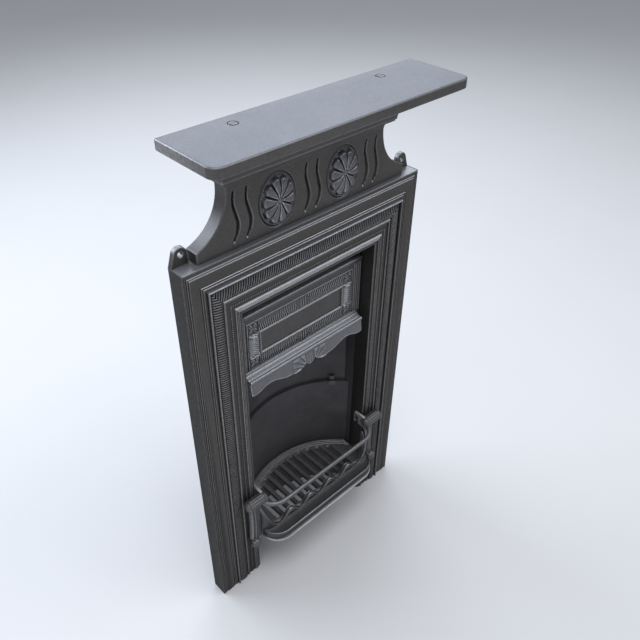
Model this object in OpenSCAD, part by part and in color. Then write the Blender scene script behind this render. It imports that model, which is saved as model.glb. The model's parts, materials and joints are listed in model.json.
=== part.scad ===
// Cast iron bedroom fireplace: a combination surround with mantel shelf, frieze, register hood,
// firebox, damper, bow-front fire bars and bottom grate.
// Frame: +Z up, Y = 0 is the wall face that the surround stands against, +Y runs into the chimney
// breast and X = 0 is the middle of the width. The feet stand on Z = 0.

/* [Surround] */
// Width of the surround over its outer edges
body_w = 500; // [496:1:540]
// Height of the surround, from the floor to its top edge
surround_h = 800; // [770:5:840]
// Width of the opening between the jambs
opening_w = 302; // [296:1:308]
// Height of the header above the opening
header_h = 114; // [104:1:124]
// Depth of the outer edge, from the front plane back to the wall
edge_depth = 33; // [30:1:40]
// Thickness of the face plate behind the mouldings
face_t = 6; // [5:0.5:8]
// Thickness of the outer and top edges
edge_t = 8; // [6:0.5:10]
// Thickness of the reveal round the opening
reveal_t = 6; // [5:0.5:8]
// How far the reveal reaches in behind the wall face
reveal_in = 4; // [3:0.5:8]
// Sinking of the face plate behind the front plane
face_sink = 2; // [1:0.25:3]
// Width of the flat outer band of each jamb
outer_band_w = 27; // [24:1:30]
// Width of the hollow between the outer band and the first bead
hollow_w = 11; // [9:0.5:13]
// Width of the two beads beside the rope band
bead_w = 4; // [3:0.5:5]
// How far the first bead stands in front of the front plane
bead_proud = 4.4; // [3:0.2:5.4]
// Width of the rope band
rope_band_w = 21; // [18:1:23]
// Width of the reeded band
reed_band_w = 8; // [6:1:10]
// How far the reeded band stands in front of the front plane
reed_proud = 0.4; // [0.2:0.1:1]
// Width of the plain edge next to the opening
inner_edge_w = 6; // [4:0.5:7]

/* [Wall lugs] */
// Distance of each wall lug's hole in from the surround's outer edge
lug_inset = 18; // [17:0.5:20]
// Height of the lug's hole above the surround
lug_rise = 17.5; // [14:0.5:20]
// Radius of the lug's round head
lug_r = 11.5; // [10.5:0.5:12]
// Width of the lug's foot
lug_foot = 30; // [26:1:31]
// Thickness of the lug
lug_t = 8; // [6:0.5:10]
// Diameter of the wall screw's hole
lug_hole_d = 8; // [6:0.5:10]

/* [Frieze] */
// Height of the frieze, from the surround up to the shelf
frieze_h = 170; // [160:1:190]
// Width of the frieze across its foot
frieze_foot_w = 434; // [400:2:434]
// Width of the frieze at its waist
frieze_waist_w = 320; // [300:2:324]
// Radius of the concave sides
side_arc_r = 80; // [76:1:84]
// Height of the waist above the foot
waist_h = 95; // [90:1:96]
// Distance of the frieze's face behind the surround's front plane
frieze_back = 9; // [6:0.5:12]
// Thickness of the frieze's walls
frieze_t = 8; // [6:0.5:9]
// Radius of the lower, small cove under the shelf
cove_small_r = 12; // [9:0.5:14]
// Radius of the upper, large cove under the shelf
cove_large_r = 30; // [26:1:31]
// Height of the fillet between the coves
cove_fillet = 3; // [2:0.5:5]
// Height of the rosettes
rosette_h = 84; // [78:1:88]
// Width of the rosettes
rosette_w = 68; // [62:1:72]
// Distance of each rosette from the middle
rosette_x = 68.5; // [64:0.5:70]
// How far the middles of the rosettes stand proud
rosette_proud = 9; // [7:0.5:10]
// How far each step of a rosette stands in from the one below
rosette_step = 8; // [6:0.5:9]

/* [Shelf] */
// Width of the mantel shelf
shelf_w = 484; // [460:2:520]
// Depth of the mantel shelf, from the wall
shelf_d = 120; // [116:1:120]
// Thickness of the mantel shelf
shelf_t = 16; // [12:0.5:20]
// Radius of the shelf's corners
shelf_corner_r = 16; // [8:1:24]
// Distance of the shelf screws from the middle
shelf_screw_x = 140; // [120:1:180]

/* [Hood] */
// Height of the hood's lower edge above the floor
hood_z = 484; // [470:1:496]
// Height of the plain strip between the raised panel and the header
hood_strip_h = 36; // [30:1:44]
// Width of the hood's raised panel
hood_panel_w = 298; // [284:1:298]
// How far the raised panel stands in front of the hood's flange
hood_panel_proud = 7; // [5:0.5:9]
// Thickness of the hood's flange
hood_t = 6; // [5:0.5:8]
// Width of the rope border, over its outside
hood_rope_w = 248; // [236:2:252]
// Height of the rope border, over its outside
hood_rope_h = 98; // [90:1:104]
// Width of the rope border's moulding
hood_rope_band = 24; // [18:1:28]
// Height of the canopy's rolled ridge above the floor
canopy_z = 521; // [517:1:525]
// How far the canopy's ridge stands in front of the raised panel
canopy_out = 17; // [14:0.5:20]
// How far the valance falls below the ridge
valance_drop = 34; // [30:0.5:36]
// How far the valance leans out in front of the ridge
valance_lean = 3; // [1:0.5:8]
// Thickness of the canopy's iron
canopy_t = 5; // [4:0.5:6]
// Half width of the canopy
canopy_half = 137; // [130:1:140]
// Distance of the outer scallops' middles from the middle of the width
scallop_outer_x = 96; // [90:1:102]
// Half width of the outer scallops
scallop_outer_w = 27; // [20:1:30]
// Height of the outer scallops
scallop_outer_h = 12; // [8:0.5:14]
// Distance of the inner scallops' middles from the middle of the width
scallop_inner_x = 12; // [12:1:20]
// Half width of the inner scallops
scallop_inner_w = 9; // [6:1:10]
// Height of the inner scallops
scallop_inner_h = 9; // [5:0.5:9]
// How far the hood laps up behind the header
hood_lap = 14; // [13:1:20]
// Height of the lower hood bolts above the canopy's ridge
hood_bolt_rise = 39; // [34:1:44]

/* [Firebox] */
// Inner radius of the curved fireback
fireback_r = 195; // [190:1:200]
// Distance of the fireback's centre line in front of the wall face
fireback_centre = 108; // [104:1:112]
// Thickness of the fireback
fireback_t = 7.7; // [6:0.1:9]
// Thickness of the firebox back
back_t = 6; // [5:0.5:8]
// Thickness of the cheeks
cheek_t = 6; // [5:0.5:6]
// Width of the cheek and hood flanges, outside the opening
flange_w = 21; // [19:1:24]
// Thickness of the bolted flanges
flange_t = 6; // [5:0.5:8]
// Depth of the cheeks, behind the reveal
cheek_d = 24; // [22:0.5:26]
// Height of the firebox
firebox_h = 596; // [580:2:610]
// Height of the fireback's top rim above the floor
rim_z = 318; // [300:2:340]
// How far the register plate reaches in behind the wall
register_d = 120; // [116:1:130]
// Thickness of the register plate
register_t = 6; // [5:0.5:8]

/* [Damper] */
// Width of the throat hole
throat_w = 140; // [120:2:144]
// Depth of the throat hole
throat_d = 54; // [44:1:54]
// Distance of the throat hole's front edge behind the wall face
throat_y = 22; // [20:1:26]
// How far the flap laps over the hole all round
flap_lap = 8; // [6:0.5:9]
// Thickness of the flap
flap_t = 4; // [3:0.5:5]
// Diameter of the hinge pin
damper_pin_d = 6; // [5:0.5:8]
// Radius of the hinge's eyes
eye_r = 7; // [6:0.5:8]
// Width of each hinge eye
eye_w = 12; // [8:1:16]
// Length of the finger tab that hangs through the throat
tab_l = 34; // [24:1:40]

/* [Bottom grate] */
// Height of the grate's top face above the floor
grate_z = 138; // [132:1:144]
// Thickness of the grate
grate_t = 8; // [6:0.5:10]
// Distance between the middles of the bars
slot_pitch = 20.7; // [19:0.1:22]
// Width of the slots
slot_w = 11; // [9:0.5:12]
// Distance of the slots' rear ends inside the fireback
slot_rear = 27; // [22:1:32]
// Width of the plain strip at the grate's front
grate_front_strip = 7; // [5:0.5:9]
// Clearance round the grate
grate_gap = 2; // [1:0.5:3]
// Radius of the grate's front corners
grate_corner_r = 30; // [28:1:34]
// Width of the bearers at the sides and the rear
bearer_w = 10; // [9:0.5:12]
// Length of the side bearers
bearer_l = 14; // [10:1:16]

/* [Fire bars] */
// Distance of the fret in front of the surround's front plane
fret_out = 23; // [20:0.5:26]
// Thickness of the fret
fret_t = 6; // [5:0.5:8]
// Height of the serpentine's valleys above the floor
valley_z = 141; // [139:1:146]
// Height of the serpentine's humps above its valleys
hump_h = 22; // [16:1:26]
// Length of one wave of the serpentine
wave_l = 55.5; // [54:0.5:57]
// Width of each standard
post_w = 21; // [18:0.5:22]
// Thickness of each standard
post_t = 11; // [9:0.5:13]
// Height of the standards' scrolled heads
head_z = 243; // [238:1:250]
// Radius of the scrolled heads
head_r = 12; // [10:0.5:12]
// Length of the scrolled heads
head_l = 40; // [34:1:44]
// Height of the ball feet's middles
ball_z = 117; // [112:1:122]
// Radius of the ball feet
ball_r = 9; // [7:0.5:10]
// Height of the top rail's middle
rail_z = 232; // [226:1:236]
// How far the top rail bows in front of the surround
rail_out = 45; // [40:1:48]
// Height of the top rail's section
rail_h = 10; // [8:0.5:12]
// Thickness of the top rail's section
rail_t = 7; // [6:0.5:9]
// Height of the hanging studs above the floor
stud_z = 243; // [236:1:248]
// Diameter of the hanging studs
stud_d = 7; // [6:0.5:8]
// Radius of the top rail's corners
rail_corner_r = 40; // [34:1:42]
// How flat the serpentine's ends sweep up to the standards
end_sweep = 22; // [18:1:30]
// Thickness of the hooks that hang on the studs
hook_t = 6; // [5:0.5:6]

/* [Ash lip] */
// Height of the lip's lower edge above the floor
lip_z = 121; // [119:0.5:123]
// Height of the lip's front
lip_h = 24; // [23:0.5:27]
// How far the lip bows in front of the surround
lip_out = 52; // [50:1:56]
// Thickness of the lip's front
lip_t = 4.5; // [4:0.5:6]
// How far the rim along the lip's lower edge stands forward
lip_rim = 2.5; // [1:0.5:3]
// Height of the rim
lip_rim_h = 6; // [4:0.5:8]
// Outer radius of the lip's corners
lip_corner_r = 40; // [36:1:42]
// Thickness of the lip's top plate
lip_plate_t = 5; // [4:0.5:6]
// How far the top plate lies below the lip's upper edge
lip_sink = 3.5; // [2:0.5:4]
// Diameter of the rivets that hold the lip to the fret
rivet_d = 5; // [4:0.5:5]

/* [Fasteners] */
// Diameter of the bolts and screws
bolt_d = 6; // [5:0.5:6]
// Width across the flats of the heads and nuts
nut_af = 10; // [9:0.5:11]
// Thickness of the heads and nuts
nut_t = 5; // [4:0.5:5.5]
// Clearance of a shank in its hole, on the radius
hole_gap = 0.3; // [0.2:0.05:0.4]
// Radius clearance of a shank in its own thread
thread_gap = 0.05; // [0.03:0.01:0.1]

/* [Hidden] */
$fn = 64;
e = 1;
front_y = -edge_depth;
half_w = body_w / 2;
half_open = opening_w / 2;
jamb_w = half_w - half_open;
header_ratio = header_h / jamb_w;
open_top = surround_h - header_h;
face_y = front_y + face_sink;
face_rear = face_y + face_t;
boss_r = 7;
boss_x = half_open + flange_w - boss_r - 0.5;
lug_x = half_w - lug_inset;

// Insets of the mouldings from the outer edge
bead_a0 = outer_band_w + hollow_w;
bead_a1 = bead_a0 + bead_w;
rope0 = bead_a1 + 1;
rope1 = rope0 + rope_band_w;
bead_b0 = rope1 + 1;
bead_b1 = bead_b0 + bead_w;
reed0 = jamb_w - inner_edge_w - reed_band_w;

// Frieze and shelf
frieze_y = front_y + frieze_back;
frieze_top = surround_h + frieze_h;
shelf_top = frieze_top + shelf_t;
waist_z = surround_h + waist_h;
neck_z = waist_z + 4;
small_half = frieze_waist_w / 2 + cove_small_r;
small_y = frieze_y - cove_small_r;
large_z = neck_z + cove_small_r + cove_fillet;
cornice_half = small_half + 2 + cove_large_r;
cornice_y = small_y - 2 - cove_large_r;
screw_y = frieze_y - 1;
frieze_bolt_x = 120;
frieze_bolt_y = -10;

// Hood
panel_y = reveal_in - hood_panel_proud;
hood_top = open_top + hood_lap;
panel_z0 = canopy_z - 9;
panel_top = open_top - hood_strip_h;
rope_z0 = canopy_z + 12;
ridge_y = panel_y - canopy_out;
hood_bolt_low = canopy_z + hood_bolt_rise;
hood_bolt_high = open_top - boss_r + 1;
valance_z = canopy_z - valance_drop;
valance_y = ridge_y - valance_lean;

// Firebox
cheek_out = half_open + cheek_t;
flange_out = half_open + flange_w;
back_front_y = reveal_in + cheek_d;
back_r = fireback_r + fireback_t + 0.3;
cheek_bolt_low = 60;
cheek_bolt_high = 420;
bearer_z = grate_z - grate_t;
register_top = firebox_h + register_t;
register_y0 = reveal_in + hood_t;
top_lug_t = 8;
top_lug_y = (register_y0 + back_front_y - flange_t) / 2;
clip_angle = 40;
clip_w = 14;
clip_t = 4;
clip_head_t = 4;
clip_x1 = -0.45;
clip_x0 = clip_x1 - clip_t;
rim_gap = 0.3;
clip_lip_x = -fireback_t - 0.3 - 0.5 - clip_t;
clip_screw_z = rim_gap + clip_t + nut_af / 2 + 0.4;

// Damper
pin_y = throat_y + throat_d + flap_lap + eye_r + 1;
pin_z = register_top + eye_r + 0.5;
flap_y0 = throat_y - flap_lap;
flap_y1 = throat_y + throat_d + flap_lap;
eye_x = 44;
lug_eye_x = eye_x + eye_w / 2 + 0.5;

// Fire bars
fret_y = front_y - fret_out;
bars_gap = 0.3;
post_x0 = half_open - 1;
post_rear = front_y - reed_proud - bars_gap;
post_front = post_rear - post_t;
post_mid = post_x0 + post_w / 2;
head_y = post_rear - head_r - bars_gap;
rail_y = front_y - rail_out;
stud_y = front_y + 10.4;
stud_end = half_open + reveal_t + boss_r - 1;
hook_x = half_open - 3 - hook_t;
hook_drop = 16;
lip_y = front_y - lip_out;
lip_end = post_x0 - bars_gap;
fret_corner_r = 22;
grate_half = post_x0 + 2 - fret_t - bars_gap;
lip_hollow = lip_h - lip_sink - lip_plate_t;
rivet_z = lip_z + 9;

// A box from its low corner to its high corner
module box(low, high) {
    translate(low)
        cube(high - low);
}

// A round bar along Y
module bar_y(r, x, y0, y1, z) {
    translate([x, y1, z])
        rotate([90, 0, 0])
            cylinder(r = r, h = y1 - y0);
}

// A round bar along X
module bar_x(r, x0, x1, y, z) {
    translate([x0, y, z])
        rotate([0, 90, 0])
            cylinder(r = r, h = x1 - x0);
}

// A hexagon head or nut along Y
module hex_y(x, y0, y1, z) {
    translate([x, y1, z])
        rotate([90, 0, 0])
            cylinder(d = nut_af / cos(30), h = y1 - y0, $fn = 6);
}

// A hexagon head or nut along Z
module hex_z(x, y, z0, z1) {
    translate([x, y, z0])
        cylinder(d = nut_af / cos(30), h = z1 - z0, $fn = 6);
}

// A nut along Z with its threaded hole
module nut_z(x, y, z0) {
    difference() {
        hex_z(x, y, z0, z0 + nut_t);
        translate([x, y, z0 - e])
            cylinder(d = bolt_d + 2 * thread_gap, h = nut_t + 2 * e);
    }
}

// Both sides of the fireplace
module both_sides() {
    for (side = [-1, 1])
        scale([side, 1, 1])
            children();
}

// A three-sided border between two insets from the outer edge, mitred at the header
module border(inset0, inset1, y0, y1) {
    difference() {
        box([-half_w + inset0, y0, 0], [half_w - inset0, y1, surround_h - inset0 * header_ratio]);
        box([-half_w + inset1, y0 - e, -e],
            [half_w - inset1, y1 + e, surround_h - inset1 * header_ratio]);
    }
}

// The outline of a wall lug
module lug_outline() {
    polygon([[lug_inset - lug_foot, 0], [lug_inset, 0], [lug_r * 0.94, lug_rise + lug_r * 0.34],
             [-lug_r * 0.94, lug_rise + lug_r * 0.34]]);
    translate([0, lug_rise])
        circle(r = lug_r);
}

module wall_lug() {
    translate([lug_x, 0, surround_h])
        rotate([90, 0, 0])
            linear_extrude(lug_t)
                lug_outline();
}

// A boss for a blind bolt hole, behind the face plate
module boss(x, z) {
    bar_y(boss_r, x, face_rear - e, reveal_in, z);
}

module boss_hole(x, z) {
    bar_y(bolt_d / 2 + thread_gap, x, face_rear + 4, reveal_in + e, z);
}

// All the mouldings, edges and the reveal of the surround, before it is parted at the mitres
module surround_bands() {
    border(0, jamb_w, face_y, face_rear);
    border(0, outer_band_w, front_y, face_y);
    border(bead_a0, bead_a1, front_y - bead_proud, face_y);
    border(rope0, rope1, front_y - 1.5, face_y);
    border(bead_b0, bead_b1, front_y - 0.6, face_y);
    border(reed0, reed0 + reed_band_w, front_y - reed_proud, face_y);
    border(0, edge_t, face_rear, 0);
    border(jamb_w - reveal_t, jamb_w, face_rear, reveal_in);
}

// An outline in X and Z, drawn out through the surround's whole depth
module depth_of() {
    translate([0, reveal_in + e, 0])
        rotate([90, 0, 0])
            linear_extrude(reveal_in + edge_depth + bead_proud + 2 * e)
                children();
}

// One jamb, on the right-hand side, up to the mitre
module jamb() {
    difference() {
        union() {
            intersection() {
                surround_bands();
                depth_of()
                    polygon([[half_open - e, -e], [half_w + e, -e],
                             [half_w + e, surround_h + e * header_ratio],
                             [half_open - e, open_top - e * header_ratio]]);
            }
            // the boss behind the reveal that the hanging stud screws into
            bar_x(boss_r, half_open + reveal_t - e, half_open + reveal_t + boss_r, stud_y, stud_z);
            for (z = [cheek_bolt_low, cheek_bolt_high, hood_bolt_low, hood_bolt_high])
                boss(boss_x, z);
        }
        for (z = [cheek_bolt_low, cheek_bolt_high, hood_bolt_low, hood_bolt_high])
            boss_hole(boss_x, z);
        bar_x(stud_d / 2 + thread_gap, half_open - e, stud_end + 1, stud_y, stud_z);
    }
}

module left_jamb() {
    color("dimgray")
    scale([-1, 1, 1])
        jamb();
}

module right_jamb() {
    color("dimgray")
    jamb();
}

module header() {
    color("dimgray")
    difference() {
        union() {
            intersection() {
                surround_bands();
                depth_of()
                    polygon([[-half_w - e, surround_h + e * header_ratio],
                             [half_w + e, surround_h + e * header_ratio],
                             [half_open - e, open_top - e * header_ratio],
                             [-half_open + e, open_top - e * header_ratio]]);
            }
            both_sides()
                wall_lug();
        }
        both_sides() {
            bar_y(lug_hole_d / 2, lug_x, -lug_t - e, e, surround_h + lug_rise);
            translate([frieze_bolt_x, frieze_bolt_y, surround_h - edge_t * header_ratio - e])
                cylinder(r = bolt_d / 2 + hole_gap, h = edge_t * header_ratio + 2 * e);
        }
    }
}

// The frieze's outline between its foot and its neck; grow moves it inwards
module frieze_outline(grow) {
    difference() {
        translate([-frieze_foot_w / 2 + grow, grow])
            square([frieze_foot_w - 2 * grow, waist_h - grow]);
        for (side = [-1, 1])
            translate([side * (frieze_waist_w / 2 + side_arc_r), waist_h])
                circle(r = side_arc_r + grow, $fn = 128);
    }
    translate([-frieze_waist_w / 2 + grow, waist_h - e])
        square([frieze_waist_w - 2 * grow, neck_z - waist_z + e]);
}

// A block whose front and ends are hollowed to a cove of radius r
module cove_block(half, y_front, z0, z1, r) {
    difference() {
        box([-half, y_front, z0], [half, 0, z1]);
        bar_x(r, -half - e, half + e, y_front, z0);
        for (side = [-1, 1])
            bar_y(r, side * half, y_front - e, e, z0);
    }
}

// An oval disc of thickness t, with round ends
module oval(w, h, t) {
    straight = (h - w) / 2;
    for (end = [-straight, straight])
        translate([0, end])
            cylinder(d = w, h = t);
    translate([-w / 2, -straight, 0])
        cube([w, 2 * straight, t]);
}

// An oval boss that rises to its middle in three steps
module rosette(x) {
    translate([x, frieze_y, surround_h + frieze_h * 0.3])
        rotate([90, 0, 0])
            for (i = [0:2])
                oval(rosette_w - 2 * i * rosette_step, rosette_h - 2 * i * rosette_step,
                     rosette_proud * (i + 1) / 3);
}

module frieze_panel() {
    color("dimgray")
    difference() {
        union() {
            translate([0, 0, surround_h])
                rotate([90, 0, 0])
                    linear_extrude(-frieze_y)
                        frieze_outline(0);
            cove_block(small_half, small_y, neck_z, large_z, cove_small_r);
            cove_block(cornice_half, cornice_y, large_z, frieze_top, cove_large_r);
            for (side = [-1, 1])
                rosette(side * rosette_x);
        }
        translate([0, e, surround_h])
            rotate([90, 0, 0])
                linear_extrude(-frieze_y - frieze_t + e)
                    frieze_outline(frieze_t);
        box([-frieze_waist_w / 2 + frieze_t, frieze_y + frieze_t, neck_z - e],
            [frieze_waist_w / 2 - frieze_t, e, frieze_top - frieze_t]);
        box([-cornice_half + frieze_t, cornice_y + frieze_t, large_z + cove_large_r + frieze_t],
            [cornice_half - frieze_t, e, frieze_top - frieze_t]);
        for (side = [-1, 1]) {
            translate([side * shelf_screw_x, screw_y, frieze_top - frieze_t - e])
                cylinder(r = bolt_d / 2 + hole_gap, h = frieze_t + 2 * e);
            translate([side * frieze_bolt_x, frieze_bolt_y, surround_h - e])
                cylinder(r = bolt_d / 2 + hole_gap, h = frieze_t + 2 * e);
        }
    }
}

// The shelf's outline with round front corners
module shelf_outline() {
    r = shelf_corner_r;
    translate([-shelf_w / 2 + r, -shelf_d])
        square([shelf_w - 2 * r, shelf_d]);
    translate([-shelf_w / 2, -shelf_d + r])
        square([shelf_w, shelf_d - r]);
    for (side = [-1, 1])
        translate([side * (shelf_w / 2 - r), -shelf_d + r])
            circle(r = r);
}

// The tapered seat of a countersunk shelf screw
module countersink(gap) {
    translate([0, 0, shelf_top - bolt_d / 2 - gap])
        cylinder(r1 = bolt_d / 2 + gap, r2 = bolt_d + 2 * gap, h = bolt_d / 2 + gap);
}

module mantel_shelf() {
    color("slategray")
    difference() {
        translate([0, 0, frieze_top])
            linear_extrude(shelf_t)
                shelf_outline();
        for (side = [-1, 1])
            translate([side * shelf_screw_x, screw_y, 0]) {
                countersink(hole_gap);
                translate([0, 0, frieze_top - e])
                    cylinder(r = bolt_d / 2 + hole_gap, h = shelf_t + 2 * e);
            }
    }
}

module shelf_screws() {
    color("silver")
    for (side = [-1, 1])
        translate([side * shelf_screw_x, screw_y, 0])
            difference() {
                union() {
                    countersink(0);
                    translate([0, 0, frieze_top - frieze_t - nut_t - 2])
                        cylinder(d = bolt_d, h = shelf_t + frieze_t + nut_t + 2 - bolt_d / 2);
                }
                translate([-bolt_d, -0.6, shelf_top - 1.5])
                    cube([2 * bolt_d, 1.2, 2]);
            }
}

module shelf_nuts() {
    color("silver")
    for (side = [-1, 1])
        nut_z(side * shelf_screw_x, screw_y, frieze_top - frieze_t - nut_t);
}

module frieze_bolts() {
    color("silver")
    for (side = [-1, 1]) {
        hex_z(side * frieze_bolt_x, frieze_bolt_y, surround_h + frieze_t,
              surround_h + frieze_t + nut_t);
        translate([side * frieze_bolt_x, frieze_bolt_y, surround_h - edge_t * header_ratio - nut_t - 2])
            cylinder(d = bolt_d, h = edge_t * header_ratio + nut_t + frieze_t + 3);
    }
}

module frieze_nuts() {
    color("silver")
    for (side = [-1, 1])
        nut_z(side * frieze_bolt_x, frieze_bolt_y, surround_h - edge_t * header_ratio - nut_t);
}

// A flat rectangular ring on the front of the hood's panel
module hood_ring(w, h, band, y_front) {
    z_mid = rope_z0 + hood_rope_h / 2;
    difference() {
        box([-w / 2, y_front, z_mid - h / 2], [w / 2, panel_y + e, z_mid + h / 2]);
        box([-w / 2 + band, y_front - e, z_mid - h / 2 + band],
            [w / 2 - band, panel_y + 2 * e, z_mid + h / 2 - band]);
    }
}

// The canopy's section: the slope down to the rolled ridge, and the valance below it
module canopy_section() {
    polygon([
        [panel_y + e, canopy_z + 9], [panel_y, canopy_z + 9], [ridge_y, canopy_z + 2],
        [valance_y, valance_z], [valance_y + canopy_t * 0.8, valance_z - canopy_t * 0.4],
        [ridge_y + canopy_t * 0.7, canopy_z - canopy_t], [panel_y, canopy_z + 1],
        [panel_y + e, canopy_z + 1]
    ]);
    translate([ridge_y, canopy_z])
        circle(r = 3);
}

// A round cut of the given half width and height in the valance's lower edge
module scallop(x, w, h) {
    r = (w * w + h * h) / (2 * h);
    bar_y(r, x, valance_y - 2 * e, panel_y - 2 * e, valance_z + h - r);
}

module canopy() {
    difference() {
        translate([canopy_half, 0, 0])
            rotate([90, 0, -90])
                linear_extrude(2 * canopy_half)
                    scale([-1, 1])
                        canopy_section();
        for (side = [-1, 1]) {
            scallop(side * scallop_outer_x, scallop_outer_w, scallop_outer_h);
            scallop(side * scallop_inner_x, scallop_inner_w, scallop_inner_h);
        }
    }
}

module hood() {
    color("gray")
    difference() {
        union() {
            box([-flange_out, reveal_in, hood_z], [flange_out, reveal_in + hood_t, hood_top]);
            box([-hood_panel_w / 2, panel_y, panel_z0], [hood_panel_w / 2, reveal_in + e, panel_top]);
            both_sides()
                box([canopy_half, panel_y, hood_z], [hood_panel_w / 2, reveal_in + e, panel_z0 + e]);
            hood_ring(hood_rope_w, hood_rope_h, hood_rope_band, panel_y - 1.5);
            hood_ring(hood_rope_w - 2 * hood_rope_band + 4, hood_rope_h - 2 * hood_rope_band + 4, 4,
                      panel_y - 3);
            canopy();
        }
        box([-hood_panel_w / 2 + 6, panel_y + 5, panel_z0 + 6],
            [hood_panel_w / 2 - 6, reveal_in + hood_t + e, panel_top - 6]);
        box([-canopy_half, reveal_in - e, hood_z - e],
            [canopy_half, reveal_in + hood_t + e, panel_z0]);
        both_sides()
            for (z = [hood_bolt_low, hood_bolt_high])
                bar_y(bolt_d / 2 + hole_gap, boss_x, reveal_in - e, reveal_in + hood_t + e, z);
    }
}

// A hexagon bolt from behind into a boss
module boss_bolt(x, z, plate) {
    hex_y(x, reveal_in + plate, reveal_in + plate + nut_t, z);
    bar_y(bolt_d / 2, x, face_rear + 6, reveal_in + plate + e, z);
}

module hood_bolts() {
    color("silver")
    both_sides()
        for (z = [hood_bolt_low, hood_bolt_high])
            boss_bolt(boss_x, z, hood_t);
}

// One cheek, on the right-hand side
module cheek() {
    difference() {
        union() {
            box([half_open, reveal_in, 0], [cheek_out, back_front_y, hood_z - 1]);
            box([half_open, register_y0, hood_z - 1 - e], [cheek_out, back_front_y, firebox_h]);
            box([cheek_out - e, reveal_in, 0], [flange_out, reveal_in + flange_t, hood_z - 8]);
            box([cheek_out - e, back_front_y - flange_t, 0], [flange_out, back_front_y, hood_z - 8]);
            box([cheek_out - e, register_y0, firebox_h - top_lug_t],
                [flange_out, back_front_y, firebox_h]);
            box([half_open - bearer_w, reveal_in, bearer_z - bearer_w],
                [half_open + e, reveal_in + bearer_l, bearer_z]);
        }
        for (z = [cheek_bolt_low, cheek_bolt_high]) {
            bar_y(bolt_d / 2 + hole_gap, boss_x, reveal_in - e, reveal_in + flange_t + e, z);
            bar_y(bolt_d / 2 + hole_gap, boss_x, back_front_y - flange_t - e, back_front_y + e,
                  z + 30);
        }
        translate([boss_x, top_lug_y, firebox_h - top_lug_t - e])
            cylinder(r = bolt_d / 2 + hole_gap, h = top_lug_t + 2 * e);
    }
}

module left_cheek() {
    color("darkslategray")
    scale([-1, 1, 1])
        cheek();
}

module right_cheek() {
    color("darkslategray")
    cheek();
}

module cheek_bolts() {
    color("silver")
    both_sides()
        for (z = [cheek_bolt_low, cheek_bolt_high])
            boss_bolt(boss_x, z, flange_t);
}

// An upright cylinder on the fireback's centre line
module arc_solid(r, z0, z1) {
    translate([0, -fireback_centre, z0])
        cylinder(r = r, h = z1 - z0, $fn = 160);
}

module firebox_back() {
    color("darkslategray")
    difference() {
        union() {
            difference() {
                intersection() {
                    arc_solid(back_r + back_t, 0, firebox_h);
                    box([-half_open + 0.3, 0, 0], [half_open - 0.3, register_d, firebox_h]);
                }
                arc_solid(back_r, -e, firebox_h + e);
                box([-half_open, -e, -e], [half_open, reveal_in + cheek_d / 2, firebox_h + e]);
            }
            both_sides()
                difference() {
                    box([half_open - 6, back_front_y, 0],
                        [flange_out, back_front_y + flange_t, firebox_h]);
                    arc_solid(back_r, -e, firebox_h + e);
                }
            // the ledge that the fireback and the grate's rear edge sit on
            difference() {
                intersection() {
                    arc_solid(back_r + 1, bearer_z - bearer_w, bearer_z);
                    box([-half_open + 24, back_front_y, 0], [half_open - 24, register_d, bearer_z]);
                }
                arc_solid(fireback_r - bearer_w, bearer_z - bearer_w - e, bearer_z + e);
            }
        }
        both_sides() {
            for (z = [cheek_bolt_low, cheek_bolt_high])
                bar_y(bolt_d / 2 + hole_gap, boss_x, back_front_y - e, back_front_y + flange_t + e,
                      z + 30);
            clip_place()
                translate([0, 0, clip_screw_z])
                    rotate([0, 90, 0])
                        cylinder(r = bolt_d / 2 + thread_gap, h = 3 * back_t, center = true);
        }
    }
}

module back_bolts() {
    color("silver")
    both_sides()
        for (z = [cheek_bolt_low, cheek_bolt_high]) {
            hex_y(boss_x, back_front_y - flange_t - nut_t, back_front_y - flange_t, z + 30);
            bar_y(bolt_d / 2, boss_x, back_front_y - flange_t - e, back_front_y + flange_t + nut_t + 2,
                  z + 30);
        }
}

module back_nuts() {
    color("silver")
    both_sides()
        for (z = [cheek_bolt_low, cheek_bolt_high])
            difference() {
                hex_y(boss_x, back_front_y + flange_t, back_front_y + flange_t + nut_t, z + 30);
                bar_y(bolt_d / 2 + thread_gap, boss_x, back_front_y, back_front_y + flange_t + nut_t + e,
                      z + 30);
            }
}

module fireback() {
    color("darkslategray")
    difference() {
        intersection() {
            arc_solid(fireback_r + fireback_t, bearer_z, rim_z);
            box([-half_open + 0.3, 0, 0], [half_open - 0.3, register_d, rim_z]);
        }
        arc_solid(fireback_r, bearer_z - e, rim_z + e);
        box([-half_open, -e, 0], [half_open, reveal_in + 8, rim_z + e]);
    }
}

// The place of the right-hand clip, at the rim: its local X runs out through the firebox back
module clip_place() {
    translate([0, -fireback_centre, rim_z])
        rotate([0, 0, 90 - clip_angle])
            translate([back_r, 0, 0])
                children();
}

module fireback_clips() {
    color("gray")
    both_sides()
        clip_place()
            difference() {
                union() {
                    box([clip_x0, -clip_w / 2, rim_gap], [clip_x1, clip_w / 2, clip_w]);
                    box([clip_lip_x, -clip_w / 2, rim_gap], [clip_x1, clip_w / 2, rim_gap + clip_t]);
                    box([clip_lip_x, -clip_w / 2, -clip_w / 2],
                        [clip_lip_x + clip_t, clip_w / 2, rim_gap + clip_t]);
                }
                translate([0, 0, clip_screw_z])
                    rotate([0, 90, 0])
                        cylinder(r = bolt_d / 2 + hole_gap, h = 4 * clip_t, center = true);
            }
}

module clip_screws() {
    color("silver")
    both_sides()
        clip_place() {
            translate([clip_x0 - clip_head_t, 0, clip_screw_z])
                rotate([0, 90, 0])
                    cylinder(d = nut_af, h = clip_head_t);
            translate([clip_x0 - e, 0, clip_screw_z])
                rotate([0, 90, 0])
                    cylinder(d = bolt_d, h = back_t - clip_x0 + 2);
        }
}

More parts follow.
